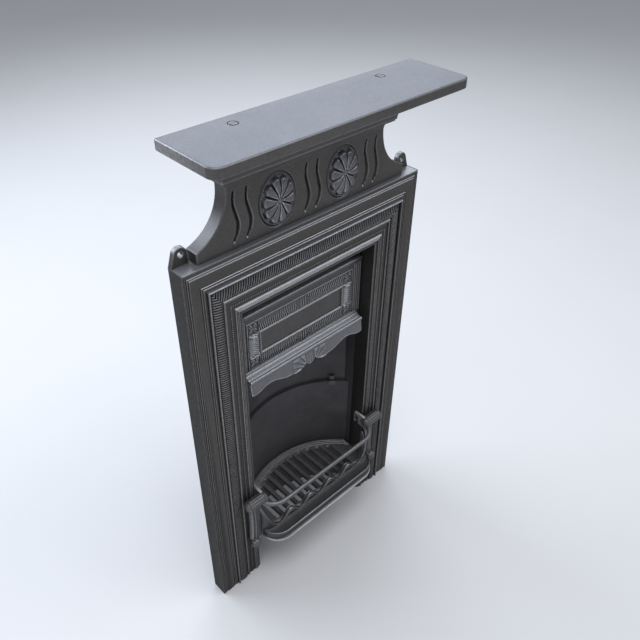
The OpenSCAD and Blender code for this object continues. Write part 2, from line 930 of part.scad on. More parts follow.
// A hinge eye of the damper between two X positions, joined down to a plate at z0
module eye(x0, x1, y_root, z0) {
    bar_x(eye_r, x0, x1, pin_y, pin_z);
    box([x0, min(y_root, pin_y), z0], [x1, max(y_root, pin_y), z0 + flap_t]);
}

module register_plate() {
    color("dimgray")
    difference() {
        union() {
            box([-flange_out, register_y0, firebox_h], [flange_out, register_d, register_top]);
            both_sides() {
                bar_x(eye_r, lug_eye_x, lug_eye_x + eye_w, pin_y, pin_z);
                box([lug_eye_x, pin_y - 4, register_top - e], [lug_eye_x + eye_w, pin_y + 4, pin_z]);
            }
        }
        box([-throat_w / 2, throat_y, firebox_h - e],
            [throat_w / 2, throat_y + throat_d, register_top + e]);
        bar_x(damper_pin_d / 2 + thread_gap, -flange_out, flange_out, pin_y, pin_z);
        both_sides()
            translate([boss_x, top_lug_y, firebox_h - e])
                cylinder(r = bolt_d / 2 + hole_gap, h = register_t + 2 * e);
    }
}

module register_bolts() {
    color("silver")
    both_sides() {
        hex_z(boss_x, top_lug_y, register_top, register_top + nut_t);
        translate([boss_x, top_lug_y, firebox_h - top_lug_t - nut_t - 2])
            cylinder(d = bolt_d, h = register_t + top_lug_t + nut_t + 3);
    }
}

module register_nuts() {
    color("silver")
    both_sides()
        nut_z(boss_x, top_lug_y, firebox_h - top_lug_t - nut_t);
}

module damper_flap() {
    color("dimgray")
    difference() {
        union() {
            box([-throat_w / 2 - flap_lap, flap_y0, register_top],
                [throat_w / 2 + flap_lap, flap_y1, register_top + flap_t]);
            both_sides()
                eye(eye_x - eye_w / 2, eye_x + eye_w / 2, flap_y1 - 2, register_top + 0.5);
            box([-12, throat_y + 18, register_top - tab_l], [12, throat_y + 22, register_top + e]);
        }
        bar_x(damper_pin_d / 2 + thread_gap, -flange_out, flange_out, pin_y, pin_z);
    }
}

module damper_pin() {
    color("silver")
    bar_x(damper_pin_d / 2, -lug_eye_x - eye_w - 3, lug_eye_x + eye_w + 3, pin_y, pin_z);
}

// One slot of the grate, with round ends at the rear
module slot(x) {
    y_rear = -fireback_centre + sqrt(pow(fireback_r - slot_rear, 2) - x * x);
    translate([x - slot_w / 2, fret_y + fret_t + grate_front_strip])
        square([slot_w, y_rear - fret_y - fret_t - grate_front_strip]);
    translate([x, y_rear])
        circle(d = slot_w, $fn = 32);
}

// The grate's straight sides and its front edge with round corners
module grate_front() {
    y_front = fret_y + fret_t + bars_gap;
    translate([-grate_half + grate_corner_r, y_front])
        square([2 * (grate_half - grate_corner_r), register_d]);
    translate([-grate_half, y_front + grate_corner_r])
        square([2 * grate_half, register_d]);
    for (side = [-1, 1])
        translate([side * (grate_half - grate_corner_r), y_front + grate_corner_r])
            circle(r = grate_corner_r, $fn = 96);
}

module bottom_grate() {
    color("dimgray")
    translate([0, 0, bearer_z])
        linear_extrude(grate_t)
            difference() {
                intersection() {
                    translate([0, -fireback_centre])
                        circle(r = fireback_r - grate_gap, $fn = 160);
                    grate_front();
                }
                for (i = [-5:5])
                    slot(i * slot_pitch);
            }
}

// The height of the serpentine's edge at a distance x from the middle
function crest(x) =
    abs(x) < 2 * wave_l
        ? valley_z + hump_h * (1 - cos(360 * x / wave_l)) / 2
        : valley_z + pow(abs(x) - 2 * wave_l, 2) / end_sweep;

// The serpentine's outline, in X and Z
module fret_outline() {
    half = post_x0 + 2;
    steps = 96;
    polygon(concat(
        [[-half, lip_z], [half, lip_z]],
        [for (i = [0:steps]) let (x = half - 2 * half * i / steps) [x, crest(x)]]
    ));
}

// The plan of a bow with round corners, filled back to the standards
module bow_area(half, y_front, r) {
    translate([-half + r, y_front])
        square([2 * (half - r), post_rear - y_front]);
    translate([-half, y_front + r])
        square([2 * half, post_rear - y_front - r]);
    intersection() {
        translate([-half, y_front])
            square([2 * half, post_rear - y_front]);
        for (side = [-1, 1])
            translate([side * (half - r), y_front + r])
                circle(r = r, $fn = 96);
    }
}

// The plan of a bowed bar of thickness t
module bow_bar(half, y_front, r, t) {
    difference() {
        bow_area(half, y_front, r);
        bow_area(half - t, y_front + t, r - t);
    }
}

module standard() {
    box([post_x0, post_front, ball_z + 2], [post_x0 + post_w, post_rear, head_z + 2]);
    bar_x(head_r, post_mid - head_l / 2, post_mid + head_l / 2, head_y, head_z);
    translate([post_mid + 4, post_rear - ball_r - bars_gap, ball_z])
        rotate([90, 0, 0])
            sphere(r = ball_r, $fn = 40);
    // the hook behind the standard, which hangs on the stud
    box([hook_x, post_front, stud_z - hook_drop],
        [hook_x + hook_t, stud_y + stud_d / 2 + 5, stud_z + stud_d / 2 + 9]);
    box([hook_x, post_front, stud_z - hook_drop], [post_x0 + 2, post_rear, stud_z]);
}

module front_bars() {
    color("dimgray")
    difference() {
        union() {
            intersection() {
                translate([0, post_rear, 0])
                    rotate([90, 0, 0])
                        linear_extrude(post_rear - fret_y + e)
                            fret_outline();
                translate([0, 0, lip_z])
                    linear_extrude(head_z - lip_z)
                        bow_bar(post_x0 + 2, fret_y, fret_corner_r, fret_t);
            }
            translate([0, 0, rail_z - rail_h / 2])
                linear_extrude(rail_h)
                    bow_bar(post_x0 + 2, rail_y, rail_corner_r, rail_t);
            both_sides()
                standard();
        }
        for (x = [-wave_l, wave_l])
            bar_y(rivet_d / 2 + thread_gap, x, fret_y - e, fret_y + fret_t + e, rivet_z);
        both_sides() {
            bar_x(stud_d / 2 + bars_gap, hook_x - e, hook_x + hook_t + e, stud_y, stud_z);
            box([hook_x - e, stud_y - stud_d / 2 - bars_gap, stud_z - hook_drop - e],
                [hook_x + hook_t + e, stud_y + stud_d / 2 + bars_gap, stud_z]);
        }
    }
}

module ash_lip() {
    color("dimgray")
    difference() {
        union() {
            translate([0, 0, lip_z])
                linear_extrude(lip_h)
                    bow_area(lip_end, lip_y, lip_corner_r);
            translate([0, 0, lip_z])
                linear_extrude(lip_rim_h)
                    intersection() {
                        bow_area(lip_end + lip_rim, lip_y - lip_rim, lip_corner_r + lip_rim);
                        translate([-half_w, lip_y - lip_rim])
                            square([2 * half_w, post_front - 4 - lip_y + lip_rim]);
                    }
        }
        // the sunk top behind the upper edge
        translate([0, 0, lip_z + lip_h - lip_sink])
            linear_extrude(lip_h)
                bow_area(lip_end - lip_t, lip_y + lip_t, lip_corner_r - lip_t);
        // the hollow below, with a flange left standing against the fret
        translate([0, 0, lip_z - e])
            linear_extrude(lip_hollow + e)
                difference() {
                    bow_area(lip_end - lip_t, lip_y + lip_t, lip_corner_r - lip_t);
                    bow_area(post_x0 - lip_t, fret_y - lip_t - bars_gap, fret_corner_r);
                }
        translate([0, 0, lip_z - e])
            linear_extrude(lip_h + 2 * e)
                bow_area(post_x0 + 2 + bars_gap, fret_y - bars_gap, fret_corner_r + bars_gap);
        for (x = [-wave_l, wave_l])
            bar_y(rivet_d / 2 + thread_gap, x, fret_y - 3 * lip_t, fret_y + e, rivet_z);
    }
}

// Rivets through the fret and the lip's flange, flush at the rear
module lip_rivets() {
    color("silver")
    for (x = [-wave_l, wave_l]) {
        bar_y(rivet_d / 2, x, fret_y - lip_t - bars_gap - e, fret_y + fret_t, rivet_z);
        bar_y(rivet_d * 0.9, x, fret_y - lip_t - bars_gap - 2, fret_y - lip_t - bars_gap, rivet_z);
    }
}

module hanging_studs() {
    color("silver")
    both_sides()
        bar_x(stud_d / 2, hook_x - 2, stud_end, stud_y, stud_z);
}

left_jamb();
right_jamb();
header();
frieze_panel();
mantel_shelf();
shelf_screws();
shelf_nuts();
frieze_bolts();
frieze_nuts();
hood();
hood_bolts();
left_cheek();
right_cheek();
cheek_bolts();
firebox_back();
back_bolts();
back_nuts();
fireback();
fireback_clips();
clip_screws();
register_plate();
register_bolts();
register_nuts();
damper_flap();
damper_pin();
bottom_grate();
front_bars();
ash_lip();
lip_rivets();
hanging_studs();
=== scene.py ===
"""Looks of the cast iron fireplace: detailed castings, iron finishes, floor, light and camera.

Lengths inside the shape helpers are millimetres in the CAD frame: X right, Y into the wall, Z up.
"""
import json
import math
import bmesh
import bpy
import numpy as np
from mathutils import Matrix, Vector
from mathutils.geometry import tessellate_polygon


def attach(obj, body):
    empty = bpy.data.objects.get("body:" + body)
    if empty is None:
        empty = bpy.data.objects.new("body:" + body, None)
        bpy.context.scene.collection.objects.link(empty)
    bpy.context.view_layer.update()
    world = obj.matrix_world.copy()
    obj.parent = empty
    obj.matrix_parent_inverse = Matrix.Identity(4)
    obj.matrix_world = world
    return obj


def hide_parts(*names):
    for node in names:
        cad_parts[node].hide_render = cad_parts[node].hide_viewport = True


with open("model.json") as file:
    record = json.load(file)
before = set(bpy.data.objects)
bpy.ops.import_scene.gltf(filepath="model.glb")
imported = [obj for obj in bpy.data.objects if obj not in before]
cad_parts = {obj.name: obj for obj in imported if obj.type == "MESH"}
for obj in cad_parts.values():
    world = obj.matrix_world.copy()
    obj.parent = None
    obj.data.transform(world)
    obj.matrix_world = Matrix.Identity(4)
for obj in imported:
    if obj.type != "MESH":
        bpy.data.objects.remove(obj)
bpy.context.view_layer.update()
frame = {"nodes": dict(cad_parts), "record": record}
FINE = 1


# -------- finishes

def new_material(name):
    material = bpy.data.materials.new(name)
    material.use_nodes = True
    tree = material.node_tree
    place = tree.nodes.new("ShaderNodeTexCoord").outputs["Object"]
    return material, tree, tree.nodes["Principled BSDF"], place


def plug(tree, socket, value):
    """Sets an input to a value, or links it to what another node puts out"""
    if isinstance(value, bpy.types.NodeSocket):
        tree.links.new(value, socket)
    else:
        socket.default_value = value


def feed(tree, node, **inputs):
    """Plugs a node's inputs by their names, with _ for a space"""
    for name, value in inputs.items():
        plug(tree, node.inputs[name.replace("_", " ")], value)
    return node


def noise(tree, place, scale, detail=3, rough=0.55, stretch=None):
    """A noise factor in the frame's own metres, stretched along an axis if asked"""
    if stretch:
        mapping = feed(tree, tree.nodes.new("ShaderNodeMapping"), Scale=stretch, Vector=place)
        place = mapping.outputs["Vector"]
    node = tree.nodes.new("ShaderNodeTexNoise")
    return feed(tree, node, Scale=scale, Detail=detail, Roughness=rough, Vector=place).outputs["Fac"]


def ramp(tree, factor, stops):
    """Colours along a factor, by (position, colour)"""
    node = tree.nodes.new("ShaderNodeValToRGB")
    elements = node.color_ramp.elements
    while len(elements) < len(stops):
        elements.new(0.5)
    for element, (at, colour) in zip(elements, stops):
        element.position = at
        element.color = (*colour, 1)
    return feed(tree, node, Fac=factor).outputs["Color"]


def grey(value):
    return (value, value, value)


def fade(tree, factor, start, end, first=0, last=1):
    """A ramp from one grey to another"""
    return ramp(tree, factor, [(start, grey(first)), (end, grey(last))])


def mix(tree, mode, factor, under, over):
    """Mixes two colours; factor is a number or a socket"""
    node = tree.nodes.new("ShaderNodeMix")
    node.data_type = "RGBA"
    node.blend_type = mode
    under, over = [(*c, 1) if isinstance(c, tuple) else c for c in (under, over)]
    return feed(tree, node, Factor=factor, A=under, B=over).outputs["Result"]


def maths(tree, operation, a, b):
    node = tree.nodes.new("ShaderNodeMath")
    node.operation = operation
    for socket, value in zip(node.inputs, (a, b)):
        plug(tree, socket, value)
    return node.outputs["Value"]


def cover(tree, mask, share, under, over):
    """Lays a colour over another where the mask is bright, up to a share of it"""
    return mix(tree, "MIX", maths(tree, "MULTIPLY", mask, share), under, over)


def bump(tree, height, distance, strength, **below):
    """Raises the surface a little, on top of the Normal below"""
    node = tree.nodes.new("ShaderNodeBump")
    return feed(tree, node, Distance=distance, Strength=strength, Height=height, **below).outputs["Normal"]


def axes(tree, vector):
    """The X, Y and Z of a vector"""
    return feed(tree, tree.nodes.new("ShaderNodeSeparateXYZ"), Vector=vector).outputs


REAR_Y = -0.0011        # the painted highlight on rubbed ridges and the painted shade in hollows stop here, in metres: what lies behind is never rubbed
# a pale blue-grey laid on faces that look up: painted sky reflection
SKY_SHEEN_COLOUR = (0.40, 0.42, 0.46)
# near black laid into sharp hollows: painted shade
HOLLOW_SHADE_COLOUR = (0.006, 0.006, 0.006)
# near black laid on the side returns beyond the side half width: painted shade
SIDE_SHADE_COLOUR = (0.02, 0.019, 0.018)


def iron(name, dark, light, rough, metallic, ridge, wear_and_highlight=0.6, grain=1, soot=None, graze=0.35, side=None,
         rub_and_highlight=(0.511, 0.545, 0.6), hollow=(0.435, 0.494), facade=True, foot=None, sky_sheen=0):
    """Blackened cast iron: faint clouds in the polish, sand-cast grain, rubbed ridges lightened partly by
    wear and partly by a painted highlight, and painted shade in hollows.

    The bends for ridges and hollows say how sharp a ridge or a hollow has to be, facade keeps both off the
    rear, side is the half width beyond which the iron is dull and darkened by painted shade, foot is how dark
    painted shade makes it near the floor, and the sky sheen share lays a pale painted sky reflection on faces
    that look up.
    """
    material, tree, shader, place = new_material(name)
    blotch = noise(tree, place, 11, 4, 0.55)
    cloud = noise(tree, place, 85, 5, 0.65)
    speck = noise(tree, place, 520, 3, 0.7)
    colour = mix(tree, "MIX", fade(tree, blotch, 0.3, 0.72), dark, light)
    colour = mix(tree, "OVERLAY", 0.16, colour, fade(tree, cloud, 0.3, 0.72, 0.3, 0.72))
    colour = mix(tree, "OVERLAY", 0.30, colour, fade(tree, speck, 0.32, 0.68, 0.2, 0.8))
    if soot:
        colour = cover(tree, fade(tree, noise(tree, place, 6, 3, 0.6), 0.40, 0.66), 0.6, colour, soot)
    surface = tree.nodes.new("ShaderNodeNewGeometry").outputs
    # sharp ridges get a lighter colour: partly real rubbed wear, partly a painted highlight
    rubbed_and_highlit = ramp(tree, surface["Pointiness"], [*zip(rub_and_highlight, map(grey, (0, 0.4, 1)))])
    # sharp hollows get near black: painted shade
    hollow_shade = fade(tree, surface["Pointiness"], *hollow, 1, 0)
    where = axes(tree, place)
    if facade:
        seen = maths(tree, "LESS_THAN", where["Y"], REAR_Y)
        rubbed_and_highlit = maths(tree, "MULTIPLY", rubbed_and_highlit, seen)
        hollow_shade = maths(tree, "MULTIPLY", hollow_shade, seen)
    patch = fade(tree, noise(tree, place, 190, 2, 0.5), 0.35, 0.6, 0.6)
    rubbed_and_highlit = maths(tree, "MULTIPLY", rubbed_and_highlit, patch)
    # lays the painted highlight on the ridges and the painted shade in the hollows
    colour = cover(tree, rubbed_and_highlit, wear_and_highlight, colour, ridge)
    colour = cover(tree, hollow_shade, 0.85, colour, HOLLOW_SHADE_COLOUR)
    if sky_sheen:
        # the more a face looks up, the paler it gets: painted sky reflection
        upward_sheen = fade(tree, axes(tree, surface["Normal"])["Z"], 0.2, 0.75)
        colour = cover(tree, upward_sheen, sky_sheen, colour, SKY_SHEEN_COLOUR)
    if foot:
        # darker towards the floor: painted shade
        colour = mix(tree, "MULTIPLY", 1, colour, fade(tree, where["Z"], 0.15, 0.78, foot))
    if side:
        # beyond the side half width the colour darkens, painted shade, and the finish gets rougher
        away = maths(tree, "ABSOLUTE", where["X"], 0)
        dull_shaded_side = fade(tree, away, side - 0.001, side)
        colour = cover(tree, dull_shaded_side, 0.65, colour, SIDE_SHADE_COLOUR)
    matt = fade(tree, cloud, 0.3, 0.7, rough - 0.04, rough + 0.05)
    matt = cover(tree, rubbed_and_highlit, 0.6, matt, grey(rough * 0.7))
    if side:
        matt = mix(tree, "MIX", dull_shaded_side, matt, grey(0.75))
    sand = noise(tree, place, 1100, 2, 0.6)
    waves = noise(tree, place, 140, 3, 0.5)
    relief = bump(tree, waves, 0.0004 * grain, 0.25)
    relief = bump(tree, speck, 0.0003 * grain, 0.45, Normal=relief)
    relief = bump(tree, sand, 0.0002 * grain, 0.5, Normal=relief)
    feed(tree, shader, Base_Color=colour, Metallic=metallic, Roughness=matt, Normal=relief,
         Specular_IOR_Level=0.5, Specular_Tint=(graze, graze, graze, 1))
    return material


def steel(name):
    """Turned steel of bolts, rivets and pins, darkened by age"""
    material, tree, shader, place = new_material(name)
    turn = noise(tree, place, 420, 3, 0.6, (1, 1, 6))
    colour = ramp(tree, turn, [(0.3, (0.085, 0.083, 0.08)), (0.7, grey(0.2))])
    feed(tree, shader, Base_Color=colour, Metallic=0.85, Roughness=fade(tree, turn, 0.3, 0.7, 0.38, 0.55),
         Normal=bump(tree, turn, 0.0002, 0.4))
    return material


# the ridge colours below are partly real rubbed wear and partly a painted highlight
FRONT_IRON = iron("front_iron", (0.076, 0.070, 0.066), (0.090, 0.083, 0.078), 0.40, 0.66,
                  ridge=(0.66, 0.66, 0.67), wear_and_highlight=0.85, side=0.2494, foot=0.68, sky_sheen=0.5)
CORD_IRON = iron("cord_iron", (0.034, 0.031, 0.029), (0.046, 0.042, 0.039), 0.36, 0.66,
                 ridge=(0.85, 0.85, 0.87), wear_and_highlight=0.9, rub_and_highlight=(0.515, 0.55, 0.60), hollow=(0.45, 0.502), foot=0.66)
FRIEZE_IRON = iron("frieze_iron", (0.088, 0.083, 0.080), (0.105, 0.099, 0.096), 0.40, 0.66,
                   ridge=(0.45, 0.45, 0.46), wear_and_highlight=0.8, sky_sheen=0.12)
# a paler finish for the rosette petals and the dots at the flutes' feet: painted sky reflection and glints
PETAL_SHEEN_IRON = iron("petal_sheen_iron", (0.130, 0.130, 0.138), (0.165, 0.166, 0.176), 0.34, 0.72,
                  ridge=(0.78, 0.76, 0.74), wear_and_highlight=0.9, rub_and_highlight=(0.512, 0.54, 0.58), hollow=(0.42, 0.49), sky_sheen=0.15)
HOOD_IRON = iron("hood_iron", (0.088, 0.084, 0.082), (0.106, 0.101, 0.099), 0.40, 0.66,
                 ridge=(0.72, 0.72, 0.74), wear_and_highlight=0.9, rub_and_highlight=(0.505, 0.54, 0.58), hollow=(0.44, 0.496), sky_sheen=0.5)
# a brighter, bluish finish for the shelf's top: painted sky reflection
SHELF_SHEEN_IRON = iron("shelf_iron", (0.112, 0.116, 0.130), (0.127, 0.132, 0.147), 0.42, 0.75,
                  ridge=(0.22, 0.22, 0.23), wear_and_highlight=0.6, grain=0.5, graze=0.8)
# a paler finish for the canopy and valance: painted light
CANOPY_SHEEN_IRON = iron("canopy_sheen_iron", (0.150, 0.150, 0.155), (0.178, 0.178, 0.186), 0.42, 0.6,
                   ridge=(0.8, 0.8, 0.81), wear_and_highlight=0.9, rub_and_highlight=(0.506, 0.54, 0.58), hollow=(0.43, 0.495), sky_sheen=0.35)
BACK_IRON = iron("firebox_iron", (0.090, 0.086, 0.092), (0.119, 0.113, 0.120), 0.5, 0.35,
                 ridge=(0.16, 0.16, 0.16), wear_and_highlight=0.1, grain=0.8, soot=(0.048, 0.046, 0.047))
GRATE_IRON = iron("grate_iron", (0.092, 0.090, 0.092), (0.114, 0.111, 0.115), 0.40, 0.62,
                  ridge=(0.6, 0.6, 0.61), wear_and_highlight=0.85, facade=False)
# a pale finish for the ash lip's rim: partly real polish from wear, partly a painted highlight
WORN_HIGHLIT_IRON = iron("worn_highlit_iron", (0.46, 0.46, 0.465), (0.60, 0.60, 0.605), 0.4, 0.55,
                 ridge=(0.85, 0.85, 0.85), wear_and_highlight=0.5, facade=False)
FIXING = steel("fixing_steel")


# -------- mesh helpers

def smooth(low, high, value):
    """A soft step from 0 at low to 1 at high"""
    t = np.clip((value - low) / (high - low), 0, 1)
    return t * t * (3 - 2 * t)


def dome(square):
    """A round rise from 0 at the edge to 1 in the middle, by the square of the distance from the middle"""
    return np.sqrt(np.clip(1 - square, 0, 1))


def bell(value, middle, width):
    """A soft ridge, 1 high, about a middle"""
    return np.exp(-((value - middle) / width) ** 2)


class Shape:
    """Gathers the shells of one casting, in millimetres"""

    def __init__(self):
        self.points = []
        self.faces = []
        self.count = 0

    def keep(self, points, faces, flip):
        """Adds a shell, with its faces turned over if asked"""
        base = self.count
        self.points.append(points)
        self.count += len(points)
        for face in faces:
            face = tuple(base + i for i in face)
            self.faces.append(face[::-1] if flip else face)

    @staticmethod
    def quads(rows, columns, wrap_rows=False, wrap_columns=False):
        index = np.arange(rows * columns).reshape(rows, columns)
        if wrap_rows:
            index = np.vstack([index, index[:1]])
        if wrap_columns:
            index = np.hstack([index, index[:, :1]])
        stack = np.stack([index[:-1, :-1], index[1:, :-1], index[1:, 1:], index[:-1, 1:]], -1)
        return stack.reshape(-1, 4)

    def grid(self, rows, towards, wrap=False):
        """Rows of points; towards gives the way that the faces look, from their middles"""
        rows = np.asarray(rows, float)
        faces = self.quads(*rows.shape[:2], False, wrap)
        points = rows.reshape(-1, 3)
        q = points[faces]
        normal = np.cross(q[:, 1] - q[:, 0], q[:, 3] - q[:, 0])
        self.keep(points, faces.tolist(), float((normal * towards(q.mean(1))).sum()) < 0)

    def sheet(self, rows, out):
        """An open grid of points that looks the way out"""
        self.grid(rows, lambda middle: np.asarray(out, float))

    def wall(self, loops, place, out_sign=1):
        """A strip that joins loops of 2-D points; place puts a point of loop number k in space"""
        rows = np.asarray([[place(*p, k) for p in loop] for k, loop in enumerate(loops)], float)
        centre = rows.reshape(-1, 3).mean(0)
        self.grid(rows, lambda middle: (middle - centre) * out_sign, wrap=True)

    def rectangle(self, low, high, out):
        """A flat face between two opposite corners, square to the axis that out points along"""
        a, b = [axis for axis in range(3) if not out[axis]]
        second, third = list(low), list(low)
        second[a], third[b] = high[a], high[b]
        self.sheet([[low, second], [third, high]], out)

    def polygon(self, outline, holes, to_3d, out):
        """A flat face with holes, which looks the way out; to_3d places a 2-D point"""
        loops = [outline, *holes]
        triangles = tessellate_polygon([[Vector((*p, 0)) for p in loop] for loop in loops])
        points = np.asarray([to_3d(*p) for loop in loops for p in loop], float)
        q = points[np.asarray(triangles)]
        normal = np.cross(q[:, 1] - q[:, 0], q[:, 2] - q[:, 0]).sum(0)
        self.keep(points, triangles, float(normal @ np.asarray(out, float)) < 0)

    def sweep(self, rings, caps=True, closed=False):
        """A closed solid through rings of points, capped at both ends or joined into a loop"""
        rings = np.asarray(rings, float)
        m, n = rings.shape[:2]
        faces = self.quads(m, n, closed, True).tolist()
        points = rings.reshape(-1, 3)
        if caps and not closed:
            faces += self.cap(rings[0], 0, 1) + self.cap(rings[-1], (m - 1) * n, -1)
        volume = 0
        for a, b in ((1, 2), (2, 3)):
            q = points[[[face[0], face[a], face[b]] for face in faces if len(face) > b]]
            volume += float((q[:, 0] * np.cross(q[:, 1], q[:, 2])).sum())
        self.keep(points, faces, volume < 0)

    @staticmethod
    def cap(ring, base, way):
        """The triangles that fill an end ring, its edges run forwards (1) or backwards (-1)"""
        triangles = [tuple(t) for t in tessellate_polygon([[Vector(p) for p in ring]])]
        strides = [(b - a) % len(ring) for t in triangles for a, b in zip(t, (*t[1:], t[0]))]
        if way * (strides.count(1) - strides.count(len(ring) - 1)) < 0:
            triangles = [t[::-1] for t in triangles]
        return [[base + i for i in t] for t in triangles]

    def lathe(self, centre, axis, profile, steps=40):
        """Turns a closed profile of (radius, distance) about a level axis into a ring"""
        side = np.cross(axis, (0, 0, 1))
        up = np.cross(axis, side)
        angle = np.linspace(0, 2 * math.pi, steps, endpoint=False)
        spoke = np.cos(angle)[:, None] * side + np.sin(angle)[:, None] * up
        profile = np.asarray(profile, float)
        self.sweep(np.asarray(centre, float) + spoke[:, None, :] * profile[:, :1]
                   + np.asarray(axis, float) * profile[:, 1:], closed=True)

    def make(self, name, body, nodes, material, angle=38):
        """The piece itself, riding on its body in place of the CAD nodes"""
        mesh = bpy.data.meshes.new(name)
        mesh.from_pydata((np.vstack(self.points) * 0.001).tolist(), [], self.faces)
        tidy = bmesh.new()
        tidy.from_mesh(mesh)
        bmesh.ops.remove_doubles(tidy, verts=tidy.verts, dist=2e-6)
        bmesh.ops.dissolve_degenerate(tidy, edges=tidy.edges, dist=1e-6)
        tidy.to_mesh(mesh)
        tidy.free()
        mesh.shade_smooth()
        mesh.set_sharp_from_angle(angle=math.radians(angle))
        mesh.materials.append(material)
        piece = bpy.data.objects.new(name, mesh)
        bpy.context.scene.collection.objects.link(piece)
        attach(piece, body)
        if nodes:
            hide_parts(*nodes)
        return piece


def second_finish(piece, material, chosen):
    """Gives a piece's faces that chosen picks another finish"""
    piece.data.materials.append(material)
    for face in piece.data.polygons:
        if chosen(face):
            face.material_index = 1


def arc(cx, cy, r, a0, a1, steps):
    """Points along an arc, from one angle in degrees to another"""
    angle = np.radians(np.linspace(a0, a1, steps + 1))
    return np.stack([cx + r * np.cos(angle), cy + r * np.sin(angle)], -1)


def circle(cx, cy, r, steps):
    return [tuple(p) for p in arc(cx, cy, r, 0, 360, steps)[:-1]]


SUPPORT = 0.8       # how far from an edge a long flat gets one more point, so that wear stays at the edge
LONG_FLAT = 3


def front_corners(half, y, r, steps, inset=0):
    """The arcs of two front corners, left and right, each turning from a side to the front at Y"""
    left = arc(-half + r, y + r, r - inset, 180, 270, steps)
    return left, arc(half - r, y + r, r - inset, 270, 360, steps)


def cove(z, half, y, r, steps):
    """Levels of (Z, half width, Y) that swing out by a radius towards a half width and a Y"""
    turn = np.radians(np.linspace(0, 90, steps))
    return [(z + r * math.sin(t), half - r * math.cos(t), y + r * math.cos(t)) for t in turn]


def supported(profile):
    """Adds a point near both ends of each long flat"""
    result = []
    for (a0, b0), (a1, b1) in zip(profile, profile[1:]):
        result.append((a0, b0))
        length = math.hypot(a1 - a0, b1 - b0)
        if length > LONG_FLAT:
            for t in (SUPPORT / length, 1 - SUPPORT / length):
                result.append((a0 + (a1 - a0) * t, b0 + (b1 - b0) * t))
    return result


# -------- surround: jambs, header and lugs

HALF_W, TOP_Z, JAMB_W, HEADER_H = 250, 800, 99, 114
RATIO = HEADER_H / JAMB_W
BOLT_X, CHEEK_BOLTS, HOOD_BOLTS = 164.5, (60, 420), (560, 680)
STUD_Y, STUD_Z = -22.6, 243
LUG_X, LUG_Z, LUG_R = 232, 817.5, 11.5
# the bosses' sections, as (radius, distance along the axis)
BOSS = [(7.6, -25.5), (7, -23.5), (7, 3.4), (6.4, 4), (3.1, 4), (3.1, -19), (0, -19),
        (0, -25.5)]
STUD_BOSS = [(7, -0.5), (7, 6.4), (6.4, 7), (0, 7), (0, -0.5)]

# the surround's section, as (distance in from the outer edge, Y): across the face, then round the back
MOULDING = [
    (0, -31.4), (0.45, -32.55), (1.5, -33), (5, -33), (5.5, -32.1), (6.4, -31.6), (7.3, -32),
    (7.8, -32.9), (8.4, -32.9), (8.9, -32), (9.8, -31.6), (10.7, -32.1), (11.2, -33), (26.4, -33),
    (27, -32.1), (27.9, -31.5), (28.8, -31.6), (29.6, -32.6), (30.3, -32.6), (31, -31.6),
    (32, -31.4), (32.8, -31.8), (33.4, -32.7), (36.8, -32.7), (37.4, -31.8), (38, -32.2),
    (38.1, -34.6), (38.5, -36), (39.2, -37.1), (40, -37.4), (40.8, -37.1), (41.5, -36),
    (41.9, -34.6), (42, -32), (42.8, -31.4), (64.2, -31.4), (64.9, -32), (65.1, -32.8),
    (65.8, -33.4), (67, -33.6), (68.2, -33.4), (68.9, -32.8), (69.1, -31.6), (69.8, -31),
    (84.6, -31), (85.2, -31.6), (85.6, -32.7), (86.4, -33.4), (87.3, -33), (88, -31.9),
    (88.6, -32.9), (89.4, -33.4), (90.2, -32.9), (90.7, -31.9), (91.3, -32.9), (92, -33.3),
    (92.7, -32.6), (93, -31.3), (93.6, -31), (97.2, -31), (98.5, -30.5), (99, -29.4),
]
MOULDING_BACK = [
    (99, 2.6), (98.6, 3.6), (97.6, 4), (93.8, 4), (93, 3.2), (93, -23.6), (91.8, -25),
    (9.4, -25), (8, -23.4), (8, -0.7), (7.3, 0), (0.7, 0), (0, -0.7),
]


def band(shape, inset0, inset1, count, step, relief, base):
    """An ornamented band between two insets, on both jambs and the header, mitred at the corners"""
    insets = np.linspace(inset0, inset1, count + 1)
    across = (insets - inset0) / (inset1 - inset0)
    run = np.arange(0, TOP_Z + step, step)
    tops = TOP_Z - insets * RATIO
    z = np.minimum(run[:, None], tops[None, :])
    width = inset1 - inset0
    y = base - relief(run[:, None], across[None, :], width)
    for side in (-1, 1):
        x = side * (HALF_W - insets)[None, :] + 0 * z
        shape.sheet(np.stack([x, y, z], -1), (0, -1, 0))
    run = np.arange(-HALF_W, HALF_W + step, step)
    reach = (HALF_W - insets)[None, :]
    x = np.clip(run[:, None], -reach, reach)
    y = base - relief(run[:, None], across[None, :], width * RATIO)
    shape.sheet(np.stack([x, y, tops[None, :] + 0 * x], -1), (0, -1, 0))


def rope(run, across, width):
    """Round strands side by side across a rounded band, each a little lower towards the opening"""
    inner = np.clip((across * width - 1.3) / (width - 3), 0, 1)
    bulge = dome((2 * inner - 1) ** 2)
    strand = np.abs(np.sin(math.pi * (run + 0.2 * across * width) / 4.7))
    return -0.3 + bulge ** 0.8 * (0.7 + 3 * strand ** 0.6)


def pearls(run, across, width):
    """A row of small pearls"""
    pitch = 3.8
    along = ((run + pitch / 2) % pitch - pitch / 2) / 1.5
    over = (across - 0.5) * width / 1.5
    return -0.05 + 1.35 * dome(along ** 2 + over ** 2)


def surround_cord():
    """The rope band and the row of pearls"""
    shape = Shape()
    band(shape, 42.6, 64.4, 16, 0.59 * FINE, rope, -31.6)
    band(shape, 76, 80, 7, 0.55 * FINE, pearls, -31)
    shape.make("surround_cord", "frame", [], CORD_IRON)


